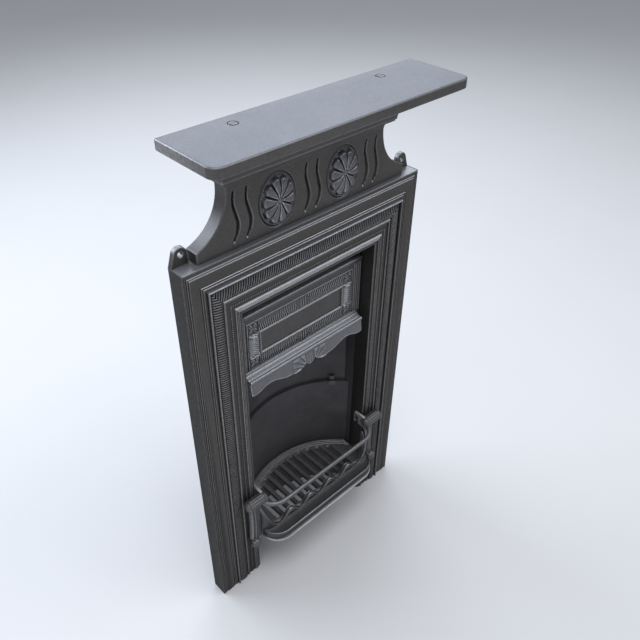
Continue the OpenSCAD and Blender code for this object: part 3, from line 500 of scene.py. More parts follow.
def surround():
    """The section swept up one jamb, along the header and down the other, with the lugs and bosses"""
    shape = Shape()
    loop = np.array(supported([*MOULDING, *MOULDING_BACK, MOULDING[0]]))
    inset, y = loop[:, 0], loop[:, 1]
    top = TOP_Z - inset * RATIO
    reach = HALF_W - inset
    run = [(reach, 0 * top), (reach, 0 * top + SUPPORT), (reach, top - SUPPORT), (reach, top),
           (reach - SUPPORT, top)]
    rings = [np.stack([-x, y, z], -1) for x, z in run]
    rings += [np.stack([x, y, z], -1) for x, z in run[::-1]]
    shape.sweep(rings)
    for side in (-1, 1):
        lug(shape, side)
        for z in (*CHEEK_BOLTS, *HOOD_BOLTS):
            shape.lathe((side * BOLT_X, 0, z), (0, 1, 0), BOSS)
        shape.lathe((side * 157, STUD_Y, STUD_Z), (side, 0, 0), STUD_BOSS)
    nodes = ["left_jamb", "right_jamb", "header"]
    shape.make("surround_casting", "frame", nodes, FRONT_IRON)


def lug(shape, side):
    """A round-headed lug with a bored and eased hole"""
    foot = np.array([(12, -19.1), (-18, -19.1), (-10.8, 3.9), (10.8, 3.9)]) * (-side, 1)
    corners = [math.atan2(z, x) for x, z in foot]

    def reach(c, s):
        """How far the foot's nearest side or, beyond it, the round head lies in one direction"""
        sides = []
        for (x, z), (dx, dz) in zip(foot, np.roll(foot, -1, 0) - foot):
            slant = s * dx - c * dz
            if abs(slant) > 1e-9:
                sides.append((z * dx - x * dz) / slant)
        return max(LUG_R, min(far for far in sides if far > 0))
    rings = []
    for a in sorted([*np.linspace(-math.pi, math.pi, 72, endpoint=False), *corners]):
        c, s = math.cos(a), math.sin(a)
        r = reach(c, s)
        section = [(4, 0), (4, -0.8), (4, -6.2), (4, -7), (4.9, -8), (5.6, -8),
                   (r - 2.3, -8), (r - 1.6, -8), (r - 0.5, -7.6), (r, -6.6), (r, -5.8), (r, -0.8),
                   (r, 0), (r - 0.8, 0), (4.8, 0)]
        rings.append([(side * LUG_X + q * c, y, LUG_Z + q * s) for q, y in section])
    shape.sweep(rings, closed=True)


surround_cord()
surround()


# -------- frieze with its rosettes, flutes and coves

FRIEZE_Y, WALL = -24, 8
NECK_Z, COVE_Z, SHELF_Z = 895, 899, 970
FOOT_HALF, COVE_HALF, FASCIA_HALF, FASCIA_Y = 217, 172, 204, -68
SWING_X, SWING_R = 240, 80          # the arc of the frieze's waist
NECK_IN, FASCIA_IN, CEILING_Z = 152, 196, 962     # the hollow behind
ROSETTE_X, ROSETTE_Z, ROSETTE_HALF_W, ROSETTE_HALF_H = 68, 851, 33.5, 41.5
ROSETTE_PROUD, ROSETTE_SINK, PETALS, RIM_BEADS = 8.98, 1.6, 10, 56
FLUTES = (-147.4, -123.7, -9.9, 13.2, 119.3, 142.7)
FLUTE_Z = [809, 812, 817, 822, 829, 837, 843, 850, 860, 870, 880, 889, 892]
FLUTE_X = [-2.5, -1.8, 1.5, 4.8, 7.3, 8.4, 7.8, 6, 3.2, 0.4, 0.3, 2, 2.8]
DOT_X, DOT_Z, DOT_R = -4, 811, 2.6


def frieze_half(z, grow=0):
    """Half the frieze's width at a height, between foot and neck, or the half that lies so much further in"""
    low = np.clip(NECK_Z - z, 0, None)
    swing = SWING_X - np.sqrt(np.clip((SWING_R + grow) ** 2 - low ** 2, 0, None))
    return np.minimum(swing, FOOT_HALF - grow)


def flute(x, z, x0):
    """One S-shaped flute: a gentle slope on its left, a steep wall on its right, and a scooped foot"""
    line = x0 + np.interp(z, FLUTE_Z, FLUTE_X)
    wide = np.interp(z, [809, 820, 834, 850, 862, 875, 890], [4.5, 7, 8.4, 8.4, 7, 5.2, 5])
    t = (x - line) / wide + 1
    ends = smooth(807.8, 811.5, z) * (1 - smooth(888, 893, z))
    cut = np.where(t < 0.85, smooth(-0.1, 0.9, t) ** 1.5, 1 - smooth(0.85, 1.08, t))
    lip = 0.35 * bell(t, 1.2, 0.12)
    from_dot = ((x - x0 - DOT_X) / DOT_R) ** 2 + ((z - DOT_Z) / DOT_R) ** 2
    return np.where(from_dot < 1, 1.7 * dome(from_dot), ends * (lip - 3.4 * cut))


def rosette(x, z, x0):
    """An oval boss of ten round-ended petals that rise to an eye in its middle, in a beaded rim"""
    u, v = (x - x0) / ROSETTE_HALF_W, (z - ROSETTE_Z) / ROSETTE_HALF_H
    r = np.sqrt(u * u + v * v)
    turn = np.arctan2(v, u)
    c = np.abs(2 * ((turn / (2 * math.pi) * PETALS - 1 / 3) % 1) - 1)
    half_wide = np.maximum(r * 37 * math.pi / PETALS, 0.1)
    leaf = np.clip(1 - 0.75 / half_wide, 0.05, 1)
    side = np.clip(c / leaf, 0, 1)
    tip = 0.905 - 0.12 * c ** 2.6
    reach = np.clip((tip - r) / 0.10, 0, 1)
    round_end = dome((1 - reach) ** 2)
    root = smooth(0.07, 0.2, r)
    crown = dome(side ** 3.4) * round_end * root
    crest = 5.4 * np.clip(1 - (r / 1.02) ** 2, 0, 1) ** 0.75
    petal = crown * (0.9 + 3.3 * np.minimum(half_wide / 8, 1))
    petal = petal - 1.3 * (1 - crown) * smooth(0.1, 0.3, r)
    ridge = 0.7 * bell(side, 0.72, 0.13) * smooth(0.25, 0.35, r) * (1 - smooth(0.55, 0.7, r))
    bead_turn = (turn / (2 * math.pi) * RIM_BEADS) % 1
    bead = np.clip(1 - (2 * bead_turn - 1) ** 2 * 0.9, 0, 1)
    rim = bell(r, 0.965, 0.026) * (0.6 + 1.3 * bead)
    ditch = -1.6 * bell(r, 1.045, 0.028)
    eye = 1.5 * dome((r / 0.09) ** 2) - 0.6 * bell(r, 0, 0.03)
    lift = np.where(r < 1, np.maximum(crest + petal + ridge, -ROSETTE_SINK) + eye, 0) + rim + ditch
    return np.clip(lift, -ROSETTE_SINK, ROSETTE_PROUD)


def frieze_front(shape):
    """The waisted front with its flutes and rosettes, and the two sides, round the corners"""
    rows = np.concatenate([[800, 800.6, 801.6], np.arange(802.4, COVE_Z, 0.8 * FINE), [COVE_Z]])
    half = frieze_half(rows)
    radius = 2.4
    x = np.linspace(-1, 1, int(560 / FINE))[None, :] * (half - radius)[:, None]
    z = rows[:, None] + 0 * x
    relief = sum(flute(x, z, x0) for x0 in FLUTES)
    relief = relief + rosette(x, z, -ROSETTE_X) + rosette(x, z, ROSETTE_X)
    front = np.stack([x, FRIEZE_Y - relief + 0.9 * (1 - smooth(TOP_Z, 801.8, z)), z], -1)
    corner = np.radians([0, 22.5, 45, 67.5])
    depth = np.array([0, -0.8, -8, -16, -20.8, *(FRIEZE_Y + radius - radius * np.sin(corner))])
    h = half[:, None]
    out = np.concatenate([np.repeat(h, 5, 1), h - radius + radius * np.cos(corner)], 1)
    left, right = [np.stack([side * out, depth + 0 * out, rows[:, None] + 0 * out], -1) for side in (-1, 1)]
    shape.sheet(np.concatenate([left, front[:, 1:-1], right[:, ::-1]], 1), (0, -1, 0))


def cornice(shape):
    """The two coves, the fillet between them and the fascia under the shelf"""
    levels = cove(COVE_Z, COVE_HALF, -36, 12, 10)
    levels += [(911.3, 172, -36), (913.4, 172, -36), (913.9, 172.6, -36.6), (914, 174, -38)]
    levels += cove(914, FASCIA_HALF, FASCIA_Y, 30, 16)
    groove = [(944.6, 0), (945.4, 0), (961.2, 0), (962, 0), (962.8, 0.6), (963.4, 0.6),
              (964.2, 0), (965, 0), (969.2, 0), (SHELF_Z, 0)]
    levels += [(level, FASCIA_HALF - cut, FASCIA_Y + cut) for level, cut in groove]
    r = 1.3
    t = np.radians([0, 30, 60, 90])
    rings = []
    for level, h, y in levels:
        left = np.stack([-h + r - r * np.cos(t), y + r - r * np.sin(t)], -1)
        along = np.concatenate([[-h + r + SUPPORT], np.linspace(-h + r, h - r, 25)[1:-1], [h - r - SUPPORT]])
        right = np.stack([h - r + r * np.sin(t), y + r - r * np.cos(t)], -1)
        plan = np.vstack([[(-h, 0), (-h, -SUPPORT), (-h, y + r + SUPPORT)], left,
                          np.stack([along, np.full(25, y)], -1), right,
                          [(h, y + r + SUPPORT), (h, -SUPPORT), (h, 0)]])
        rings.append(np.column_stack([plan, np.full(len(plan), level)]))
    shape.sheet(rings, (0, -1, 0))


def frieze_back(shape):
    """The hollow behind, and the rear edges that stand against the wall"""
    foot_z, step_z, half_in = TOP_Z + WALL, 952, FOOT_HALF - WALL

    def recess(half, y, z):
        return [(-half, 0, z), (-half, y, z), (half, y, z), (half, 0, z)]
    levels = np.concatenate([[foot_z], np.arange(810, NECK_Z, 4), [NECK_Z, COVE_Z, 951.9]])
    halves = np.where(levels <= NECK_Z, frieze_half(levels, WALL), NECK_IN)
    shape.sheet([recess(h, -16, z) for h, z in zip(halves, levels)], (0, 1, 0))
    shape.sheet([recess(FASCIA_IN, -60, z) for z in (step_z, CEILING_Z)], (0, 1, 0))
    shape.rectangle((-FASCIA_IN, -60, CEILING_Z), (FASCIA_IN, 0, CEILING_Z), (0, 0, -1))
    step = [p[:2] for p in recess(FASCIA_IN, -60, 0) + recess(NECK_IN, -16, 0)[::-1]]
    shape.polygon(step, [], lambda x, y: (x, y, step_z), (0, 0, 1))
    shape.rectangle((-half_in, -16, foot_z), (half_in, 0, foot_z), (0, 0, 1))
    outside = [(899, 160), (905, 161.6), (909.4, 166), (911, 172), (914, 172), (914, 174),
               (925.5, 177.2), (935.2, 182.8), (941, 191), (944, 204), (951.9, 204)]
    for side in (-1, 1):
        shape.sheet([[(side * frieze_half(z), 0, z), (side * h, 0, z)]
                     for z, h in zip(levels[:-1], halves[:-1])], (0, 1, 0))
        shape.sheet([[(side * h, 0, z), (side * NECK_IN, 0, z)] for z, h in outside], (0, 1, 0))
        shape.rectangle((side * FASCIA_IN, 0, step_z), (side * FASCIA_HALF, 0, CEILING_Z), (0, 1, 0))
    shape.rectangle((-FASCIA_HALF, 0, CEILING_Z), (FASCIA_HALF, 0, SHELF_Z), (0, 1, 0))
    shape.rectangle((-FOOT_HALF, 0, TOP_Z), (FOOT_HALF, 0, foot_z), (0, 1, 0))


def frieze():
    shape = Shape()
    frieze_front(shape)
    cornice(shape)
    frieze_back(shape)
    piece = shape.make("frieze_casting", "frame", ["frieze_panel"], FRIEZE_IRON, 50)

    def petal_or_dot(face):
        x, y, z = np.array(face.center) * 1000
        from_eye = math.hypot((abs(x) - ROSETTE_X) / ROSETTE_HALF_W, (z - ROSETTE_Z) / ROSETTE_HALF_H)
        from_dot = min(math.hypot(x - x0 - DOT_X, z - DOT_Z) for x0 in FLUTES)
        return y < -23.5 and (from_eye < 0.93 or from_dot < DOT_R)
    # the petals and flute-foot dots take the paler finish: painted sky reflection and glints
    second_finish(piece, PETAL_SHEEN_IRON, petal_or_dot)


frieze()


# -------- mantel shelf

SHELF_HALF, SHELF_D, SHELF_R = 242, 120, 16
# the shelf's edge as (Z, distance in), and its screw holes as (radius, Z)
SHELF_EDGE = [(970, 2.4), (970, 1.6), (970.3, 0.6), (971.1, 0), (971.9, 0), (983.2, 0),
              (984.2, 0.1), (985.1, 0.6), (985.75, 1.4), (986, 2.4), (986, 3.4)]
SCREW_X, SCREW_Y = 140, -25
BORE = [(9, 986), (8.2, 986), (7.8, 985.8), (7.2, 984.2), (3.3, 982.7), (3.3, 981.9), (3.3, 970.8),
        (3.3, 970)]
BORE_FOOT = [(3.3, 970), (4.2, 970)]


def shelf_outline(inset):
    left, right = front_corners(SHELF_HALF, -SHELF_D, SHELF_R, 12, inset)
    return [(-SHELF_HALF + inset, 0), *map(tuple, left), *map(tuple, right), (SHELF_HALF - inset, 0)]


def shelf():
    shape = Shape()
    shape.wall([shelf_outline(inset) for z, inset in SHELF_EDGE], lambda x, y, k: (x, y, SHELF_EDGE[k][0]))
    for (z, inset), (radius, _), up in ((SHELF_EDGE[-1], BORE[0], 1), (SHELF_EDGE[0], BORE_FOOT[1], -1)):
        holes = [circle(side * SCREW_X, SCREW_Y, radius, 32) for side in (-1, 1)]
        shape.polygon(shelf_outline(inset), holes, lambda x, y: (x, y, z), (0, 0, up))
    for side in (-1, 1):
        axis = np.array([side * SCREW_X, SCREW_Y, 0])
        bore, foot = [[[(x, y, z) for x, y in circle(*axis[:2], r, 32)] for r, z in part]
                      for part in (BORE, BORE_FOOT)]
        shape.grid(bore, lambda middle: (axis - middle) * (1, 1, 0), wrap=True)
        shape.grid(foot, lambda middle: np.array([0, 0, -1]), wrap=True)
    piece = shape.make("shelf_casting", "frame", ["mantel_shelf"], SHELF_SHEEN_IRON)
    # the shelf's top keeps the brighter bluish finish, a painted sky reflection, and its edges take the
    # frieze's finish
    second_finish(piece, FRIEZE_IRON, lambda face: abs(face.normal.z) < 0.5)


shelf()


# -------- hood

PANEL_HALF, PANEL_Y, PANEL_TOP, PANEL_MID = 149, -3, 649.2, 582
CANOPY_HALF, CANOPY_TOP, CANOPY_FOOT, HOOD_FOOT = 137, 530, 512, 484
FLANGE_HALF, FLANGE_TOP, FLANGE_Y, FLANGE_REAR = 172, 700, 4, 10
BORDER_HALF_W, BORDER_HALF_H, BORDER = 124, 49, 24


def plait(run, across, width, slant, deep):
    """The hood border's plaited cord: strands that slant both ways from the middle"""
    bulge = dome((2 * across - 1) ** 2)
    chevron = np.abs(across - 0.5) * width * slant
    strand = np.abs(np.sin(math.pi * (run + chevron) / 4.3))
    return bulge ** 0.6 * (0.3 + deep * strand ** 0.65)


def corner_leaf(u, v):
    """A square leaf of four lobes about an eye, for the corners of the border"""
    r = np.sqrt(u * u + v * v)
    turn = np.arctan2(v, u)
    leaf = np.abs(np.sin(2 * turn)) ** 0.6 * 1.05
    lift = np.where(r < leaf, 0.5 + 2 * dome((r / np.maximum(leaf, 1e-3)) ** 2), 0.15)
    lift = lift - bell(np.abs(np.sin(2 * (turn - math.pi / 4))), 0, 0.09) * (r < leaf) * (r > 0.2)
    lift = lift + 0.8 * dome((r / 0.2) ** 2)
    return np.where(np.maximum(np.abs(u), np.abs(v)) > 0.96, 0.9, lift)


def hood_relief(x, z):
    """How far the hood's raised panel stands out from its own face, at X and Z"""
    ax, az = np.abs(x), np.abs(z - PANEL_MID)
    wide = BORDER
    in_x, in_z = BORDER_HALF_W - wide, BORDER_HALF_H - wide
    inside = (ax < BORDER_HALF_W) & (az < BORDER_HALF_H)
    corner = inside & (ax > in_x) & (az > in_z)
    column = inside & (ax > in_x) & (az <= in_z)
    beam = inside & (az > in_z) & (ax <= in_x)
    lift = np.where(column, plait(z, (ax - in_x) / wide, wide, 0.38, 2.9), 0)
    lift = np.where(beam, plait(ax, (az - in_z) / wide, wide, 0.25, 2.1), lift)
    across = dome((2 * (ax - in_x) / wide - 1) ** 2)
    for at in (1.4, 4.2):
        lift = lift + column * across * 2.4 * bell(az, in_z - at, 0.9)
    lift = np.where(corner, corner_leaf((ax - in_x - wide / 2) / 11, (az - in_z - wide / 2) / 11), lift)
    # clasps in the middle of the top and bottom borders, between two leaves
    off = az - in_z - wide / 2
    turn = np.abs(np.cos(math.pi * ax / 5.3)) ** 0.6
    lift = np.where(beam & (ax < 8), 0.4 + 2.5 * turn * dome((off / 12.5) ** 2), lift)
    spread = np.abs(off) / (2 + 8 * np.clip((17 - ax) / 9, 0, 1))
    leaf = beam & (ax >= 8) & (ax < 17) & (spread < 1)
    lift = np.where(leaf, 0.6 + 1.9 * dome(spread ** 2), lift)
    # outer fillet and inner ridge of the border
    beyond = np.maximum(ax - BORDER_HALF_W, az - BORDER_HALF_H)
    lift = lift + 1.5 * np.exp(-((beyond - 0.9) / 0.9) ** 4)
    beyond = np.maximum(ax - in_x, az - in_z)
    lift = np.where((beyond < 0.6) & (beyond > -4), 3 * dome(((beyond + 1.7) / 2.3) ** 2), lift)
    lift = lift - 0.5 * bell(beyond, -5, 0.8)
    # upright reeds beside the border, and the rail along the panel's head
    reeds = smooth(127, 128.5, ax) * (1 - smooth(147, 148.4, ax))
    lift = lift + reeds * 1.5 * np.abs(np.sin(math.pi * (ax - 128) / 5)) ** 0.8
    return np.where((z > 641.5) & (z < 649), 1.7 * dome(((z - 645.2) / 3.7) ** 2), lift)


def valance_edge(x):
    """The height of the valance's scalloped lower edge"""
    at = [0, 4, 8, 11.5, 15, 20, 27, 36, 46, 56, 64, 72, 80, 88, 96, 104, 111, 118, 125, 131, 137.5]
    up = [487.6, 488.4, 493.5, 496.5, 494.2, 489.4, 487.3, 486.3, 486.2, 487.2, 489.4, 492.8, 496.2, 498.5,
          499.1, 498.2, 495.6, 492.4, 490.6, 490.4, 491.6]
    return float(np.interp(abs(x), at, up))


def hood():
    """The raised panel, and behind it the flange with its pocket, bolt holes and the rib at its foot"""
    shape = Shape()
    step = 0.8 * FINE
    inner = PANEL_HALF - 1
    x = np.concatenate([[-PANEL_HALF], np.arange(-inner, inner + step, step), [PANEL_HALF]])
    z = np.concatenate([np.arange(CANOPY_TOP, PANEL_TOP, step), [PANEL_TOP]])
    gx, gz = np.meshgrid(x, z)
    rows = [*np.stack([gx, PANEL_Y - hood_relief(gx, gz), gz], -1)]
    for back, rise in ((0.25, 0.55), (0.9, 0.8), (7, 0.8)):
        rows.append(np.stack([x, np.full_like(x, PANEL_Y + back), np.full_like(x, PANEL_TOP + rise)], -1))
    shape.sheet(rows, (0, -1, 0.1))
    for side in (-1, 1):
        outer, inner = side * PANEL_HALF, side * CANOPY_HALF
        shape.rectangle((outer, PANEL_Y, HOOD_FOOT), (outer, FLANGE_Y, PANEL_TOP + 0.8), (side, 0, 0))
        # the face beside the canopy, down to the hood's foot
        shape.sheet([[(q, PANEL_Y, z) for q in (outer, side * 148, side * 144, inner)]
                     for z in (HOOD_FOOT, 500, 515, CANOPY_TOP)], (0, -1, 0))
        shape.rectangle((inner, PANEL_Y, HOOD_FOOT), (inner, FLANGE_Y, CANOPY_FOOT), (-side, 0, 0))
        shape.rectangle((inner, PANEL_Y, HOOD_FOOT), (outer, FLANGE_Y, HOOD_FOOT), (0, 0, -1))
    legs = [(-FLANGE_HALF, HOOD_FOOT), (-CANOPY_HALF, HOOD_FOOT), (-CANOPY_HALF, CANOPY_FOOT)]
    ring = [*legs, *((-x, z) for x, z in legs[::-1]), (FLANGE_HALF, FLANGE_TOP), (-FLANGE_HALF, FLANGE_TOP)]
    pocket = [(-143, 518), (143, 518), (143, 644), (-143, 644)]
    floor_y = PANEL_Y + 5
    bolts = [circle(side * BOLT_X, q, 3.3, 24) for side in (-1, 1) for q in HOOD_BOLTS]

    def rim(loop, front, out_sign):
        shape.wall([loop, loop], lambda x, z, k: (x, (front, FLANGE_REAR)[k], z), out_sign)
    shape.polygon(ring, [pocket, *bolts], lambda x, z: (x, FLANGE_REAR, z), (0, 1, 0))
    shape.polygon(ring, bolts, lambda x, z: (x, FLANGE_Y, z), (0, -1, 0))
    shape.polygon(pocket, [], lambda x, z: (x, floor_y, z), (0, 1, 0))
    rim(ring, FLANGE_Y, 1)
    rim(pocket, floor_y, -1)
    for hole in bolts:
        rim(hole, FLANGE_Y, -1)
    shape.rectangle((-CANOPY_HALF, PANEL_Y, CANOPY_FOOT), (CANOPY_HALF, FLANGE_REAR, CANOPY_FOOT), (0, 0, -1))
    shape.make("hood_casting", "frame", ["hood"], HOOD_IRON, 48)


def canopy():
    """The hood's canopy: beaded slope, rolled ridge and scalloped valance, closed behind"""
    shape = Shape()
    slope = [(-2, 531.2), (-3, 531), (-4.6, 530.8), (-5, 530.2), (-4.4, 529.3), (-5.2, 528.6),
             (-6.6, 528.1), (-7.6, 528.2), (-8.6, 527.5), (-9.4, 526.6), (-12, 525.6), (-14.4, 524.7),
             (-16.2, 523.8), (-17.4, 522.9)]
    roll = arc(-20.2, 521, 3.1, 60, 235, 12)
    high = 517.8
    rings = []
    for x in [*np.arange(-CANOPY_HALF, CANOPY_HALF, 0.9 * FINE), CANOPY_HALF]:
        low = valance_edge(x)
        ends = min(1, (CANOPY_HALF - abs(x)) / 2)
        section = [*slope, *roll]
        for t in np.linspace(0, 1, int(26 / FINE)):
            z = high + (low + 1.2 - high) * t
            y = -20.6 - 2.9 * t ** 1.6 - 0.5 * math.sin(math.pi * t)
            section.append((y - valance_relief(x, z, low) * ends, z))
        section += [(-23.1, low + 0.4), (-22.3, low), (-20.6, low), (-19.8, low + 0.6)]
        section += [(-19.8 + 3.4 * t, low + (515 - low) * t) for t in (0.33, 0.66, 1)]
        section += [(-12, 518.2), (-3, 521.6), (-2, 521.6)]
        rings.append([(x, y, z) for y, z in section])
    shape.sweep(rings)
    # the canopy and valance take the paler finish: painted light
    shape.make("hood_canopy", "frame", [], CANOPY_SHEEN_IRON, 48)


def valance_relief(x, z, low):
    """Leaf sprays and the middle knop on the valance, and the bead along its edge"""
    ax = abs(x)
    lift = bell(z, low + 2.2, 1.2)
    if ax < 9.5:
        square = (ax / 9) ** 2 + ((z - 500) / 12.5) ** 2
        lift += 1.8 * dome(square) * (0.75 + 0.25 * math.cos(math.pi * ax / 2.6))
    elif ax < 44:
        fan = math.atan2(z - 485, ax - 4)
        far = math.hypot(z - 485, ax - 4)
        within = smooth(10, 12.5, ax) * (1 - smooth(38, 44, ax)) * (1 - smooth(512, 516, z))
        lift += within * (0.5 + 1.9 * abs(math.sin(9 * fan + 0.02 * far)) ** 0.7)
    return lift


hood()
canopy()


# -------- fire bars, ash lip and grate

BARS_HALF, BARS_REAR = 152, -34.2
FRET_Y, FRET_R, FRET_TOP = -56, 22, 217
RAIL_Y, RAIL_Z, RAIL_R = -78, 232, 40
LIP_Z, LIP_Y, LIP_X, LIP_R = 121, -85, 109.7, 40
HEAD_X, HEAD_Y, HEAD_HALF = 162.5, -46, 24
FIREBACK_Y = -108                     # the middle of the arcs of fireback and grate
GRATE_TOP, GRATE_FOOT = 138, 130


def bow(y_front, r, bend, straight):
    """The plan of a bow from the left end round to the right end: points and outward normals"""
    x, y = BARS_HALF - r, y_front + r
    count = max(int(2 * x / straight), 2)
    line = np.stack([np.linspace(-x, x, count + 1)[1:-1], np.full(count - 1, y_front)], -1)
    side = np.linspace(BARS_REAR, y, 5)[:-1]
    left, right = front_corners(BARS_HALF, y_front, r, bend)
    rear = [(BARS_HALF, q) for q in side]
    points = np.vstack([np.multiply(rear, (-1, 1)), left, line, right, rear[::-1]])
    left, right = front_corners(1, -1, 1, bend)
    normals = np.vstack([[(-1, 0)] * 4, left, [(0, -1)] * (count - 1), right, [(1, 0)] * 4])
    return points, normals


def along(points, normals, section):
    """Rings that a section of (distance outwards, height) makes along a plan; it may change on the way"""
    return [[(x + nx * d, y + ny * d, z) for d, z in section(x, nx)]
            for (x, y), (nx, ny) in zip(points, normals)]


def crest(x):
    """The height of the fret's wavy top, which climbs to the standards at its ends"""
    wave = 55.5
    beyond = max(abs(x) - 2 * wave, 0)
    if beyond:
        return min(141 + beyond ** 2 / 22, FRET_TOP)
    return 141 + 11 * (1 - math.cos(2 * math.pi * abs(x) / wave))


def fret_section(x, nx):
    """The fret's section: a moulded crest on its front, and a plain rear"""
    top, mid = crest(x), crest(x - nx * 3)
    front = [(0, -13), (0.7, -12.2), (2, -11.4), (2.7, -10), (2.5, -8.6), (1.4, -7.7), (0.8, -7.1),
             (1.5, -6.4), (2.6, -5.3), (3, -3.6), (2.5, -1.8), (1.3, -0.6), (0, -0.25), (-1.2, -0.9)]
    rear = [(-2.2, -1.3), (-3.4, -0.9), (-4.6, -0.4), (-5.6, -1.2), (-6, -2.6)]
    return [(0, LIP_Z + 0.6), *((d, top + z) for d, z in front), *((d, mid + z) for d, z in rear),
            (-6, LIP_Z + 0.6), (-5.4, LIP_Z), (-0.6, LIP_Z)]


def rail_section(x, nx):
    """The top rail's section: a rounded oblong, 7 by 10"""
    section = []
    for a in np.radians(np.arange(0, 360, 22.5)):
        c, s = math.cos(a), math.sin(a)
        section.append((-3.5 + math.copysign(3.5, c) * abs(c) ** 0.7,
                        RAIL_Z + math.copysign(5, s) * abs(s) ** 0.7))
    return section


def front_bars():
    shape = Shape()
    shape.sweep(along(*bow(FRET_Y, FRET_R, 16, 1.3 * FINE), fret_section))
    shape.sweep(along(*bow(RAIL_Y, RAIL_R, 20, 4), rail_section))
    for side in (-1, 1):
        standard(shape, side)
    shape.make("fire_bars_casting", "fire_front", ["front_bars"], GRATE_IRON, 42)


def slab(shape, outline, side, y0, y1, ease):
    """A plate in X and Z with eased front edges, seen from the right side and mirrored for the left"""
    outline = np.asarray(outline, float)
    centre = outline.mean(0)
    d = outline - centre
    half = np.abs(d).max(0)
    loops = [(y1, outline), (y0 + ease, outline)]
    loops += [(y0, centre + d * (1 - step / half)) for step in (ease, ease + 0.9, ease + 2)]
    shape.sweep([[(side * x, y, z) for x, z in loop] for y, loop in loops])


def standard(shape, side):
    """A standard of the fire bars: moulded shaft, scrolled head, fluted ball foot and its hook"""
    z = np.linspace(123, 244, 22)
    t = (z - z[0]) / (z[-1] - z[0])
    low = 150 + 1.6 * np.sin(math.pi * t) + 3 * (1 - t) ** 3
    high = 175 - 2.4 * np.sin(math.pi * t)
    slab(shape, [*zip(low, z), *zip(high[::-1], z[::-1])], side, -44.7, BARS_REAR, 1.6)
    low, high, z = low + 6.8, high - 6.8, z * 0.985 + 2.8
    slab(shape, [*zip(low, z), *zip(high[::-1], z[::-1])], side, -46.2, -43, 1.2)
    scrolled_head(shape, side)
    ball_foot(shape, side)
    hook(shape, side)


def scrolled_head(shape, side):
    """The head along X, with rows of short reeds between its fillets and an eye at each end"""
    rings = []
    for q in np.linspace(-HEAD_HALF, HEAD_HALF, 97):
        ends = max(0, (abs(q) - 21.5) / 2.5)
        fillet = bell(abs(q), 19.6, 0.9) + bell(abs(q), 15.8, 0.9)
        ring = []
        for b in np.linspace(0, 2 * math.pi, 60, endpoint=False):
            reed = abs(math.cos(6 * b)) ** 0.7 * (0.45 + 0.55 * abs(math.cos(math.pi * q / 5.2)) ** 0.6)
            r = 10.6 + 1.3 * max(fillet, reed if abs(q) < 15 else 0) - 3 * ends ** 2
            ring.append((side * (HEAD_X + q), HEAD_Y + r * math.cos(b), STUD_Z + r * math.sin(b)))
        rings.append(ring)
    shape.sweep(rings)
    for end in (-1, 1):
        shape.lathe((side * (HEAD_X + end * HEAD_HALF), HEAD_Y, STUD_Z), (end * side, 0, 0),
                    [(5, -0.5), (5, 0.2), (4.2, 0.5), (3, 0.3), (0, 0.3), (0, -0.5)], 24)


def ball_foot(shape, side):
    """The fluted ball below the shaft"""
    rings = []
    for a in np.linspace(0.01, math.pi - 0.01, 28):
        ring = []
        for b in np.linspace(0, 2 * math.pi, 80, endpoint=False):
            r = 11.2 - 1.5 * math.sin(a) * (1 - abs(math.cos(4 * b)) ** 0.7)
            ring.append((side * 169.5 + r * math.sin(a) * math.cos(b), HEAD_Y + r * math.cos(a),
                         118 + r * math.sin(a) * math.sin(b)))
        rings.append(ring)
    shape.sweep(rings, caps=False)


def hook(shape, side):
    """The hook behind a standard, open below the stud, and the web that joins it to the shaft"""
    foot = 227
    outline = [(-44.7, foot), (-26.6, foot), (-26.6, STUD_Z), *arc(STUD_Y, STUD_Z, 4, 180, 0, 10)[1:],
               (-18.6, foot), (-14.1, foot), (-14.1, 252), (-16, 255.5), (-42, 255.5), (-44.7, 252)]
    rings = []
    for x, ease in ((142, 0.6), (142.8, 0), (147.2, 0), (148, 0.6)):
        ring = []
        for y, z in outline:
            inwards = ease if y < -30 else -ease if y > -16 else 0
            ring.append((side * x, y + inwards, z - (ease if z > 250 else 0)))
        rings.append(ring)
    shape.sweep(rings)
    web = ((141.9, -44.7), (153, -44.7), (153, -34), (141.9, -34))
    shape.sweep([[(side * x, y, z) for x, y in web] for z in (foot, STUD_Z)])


front_bars()


def lip_section(width, out, bead):
    """The lip's section as (distance in from the edge, Z), for a lip so wide, with so much rim and bead"""
    k = min(1, width / 20)
    front = [(0.9 - out, 121), (0.2 - out, 121.5), (-0.1 - out, 122.6), (-out, 124.2),
             (0.7 - out, 125.6), (1.7 - 0.6 * out, 126.5), (2.3, 127.3), (2.4, 128.4), (1.9, 129.4),
             (1.8, 130.4), (1.2, 139.6), (1.1, 140.6), (0.5, 141.6), (0, 142.6 + bead * 0.4),
             (0.7, 143.7 + bead), (1.9, 143.9 + bead), (3, 143 + 0.4 * bead), (3.8, 141.9), (5.4, 141.5)]
    return [*((a * k, z) for a, z in front), (width * 0.6, 141.4), (width - 0.6 * k, 141.5), (width, 140.8),
            (width, 121.6), (width - 0.6 * k, LIP_Z), (width - 4.6 * k, LIP_Z), (width - 5 * k, 121.6),
            (width - 5 * k, 136), (width * 0.55, 136.4), (4.6 * k, 136), (4.5 * k, 121.6),
            (4 * k, LIP_Z)]


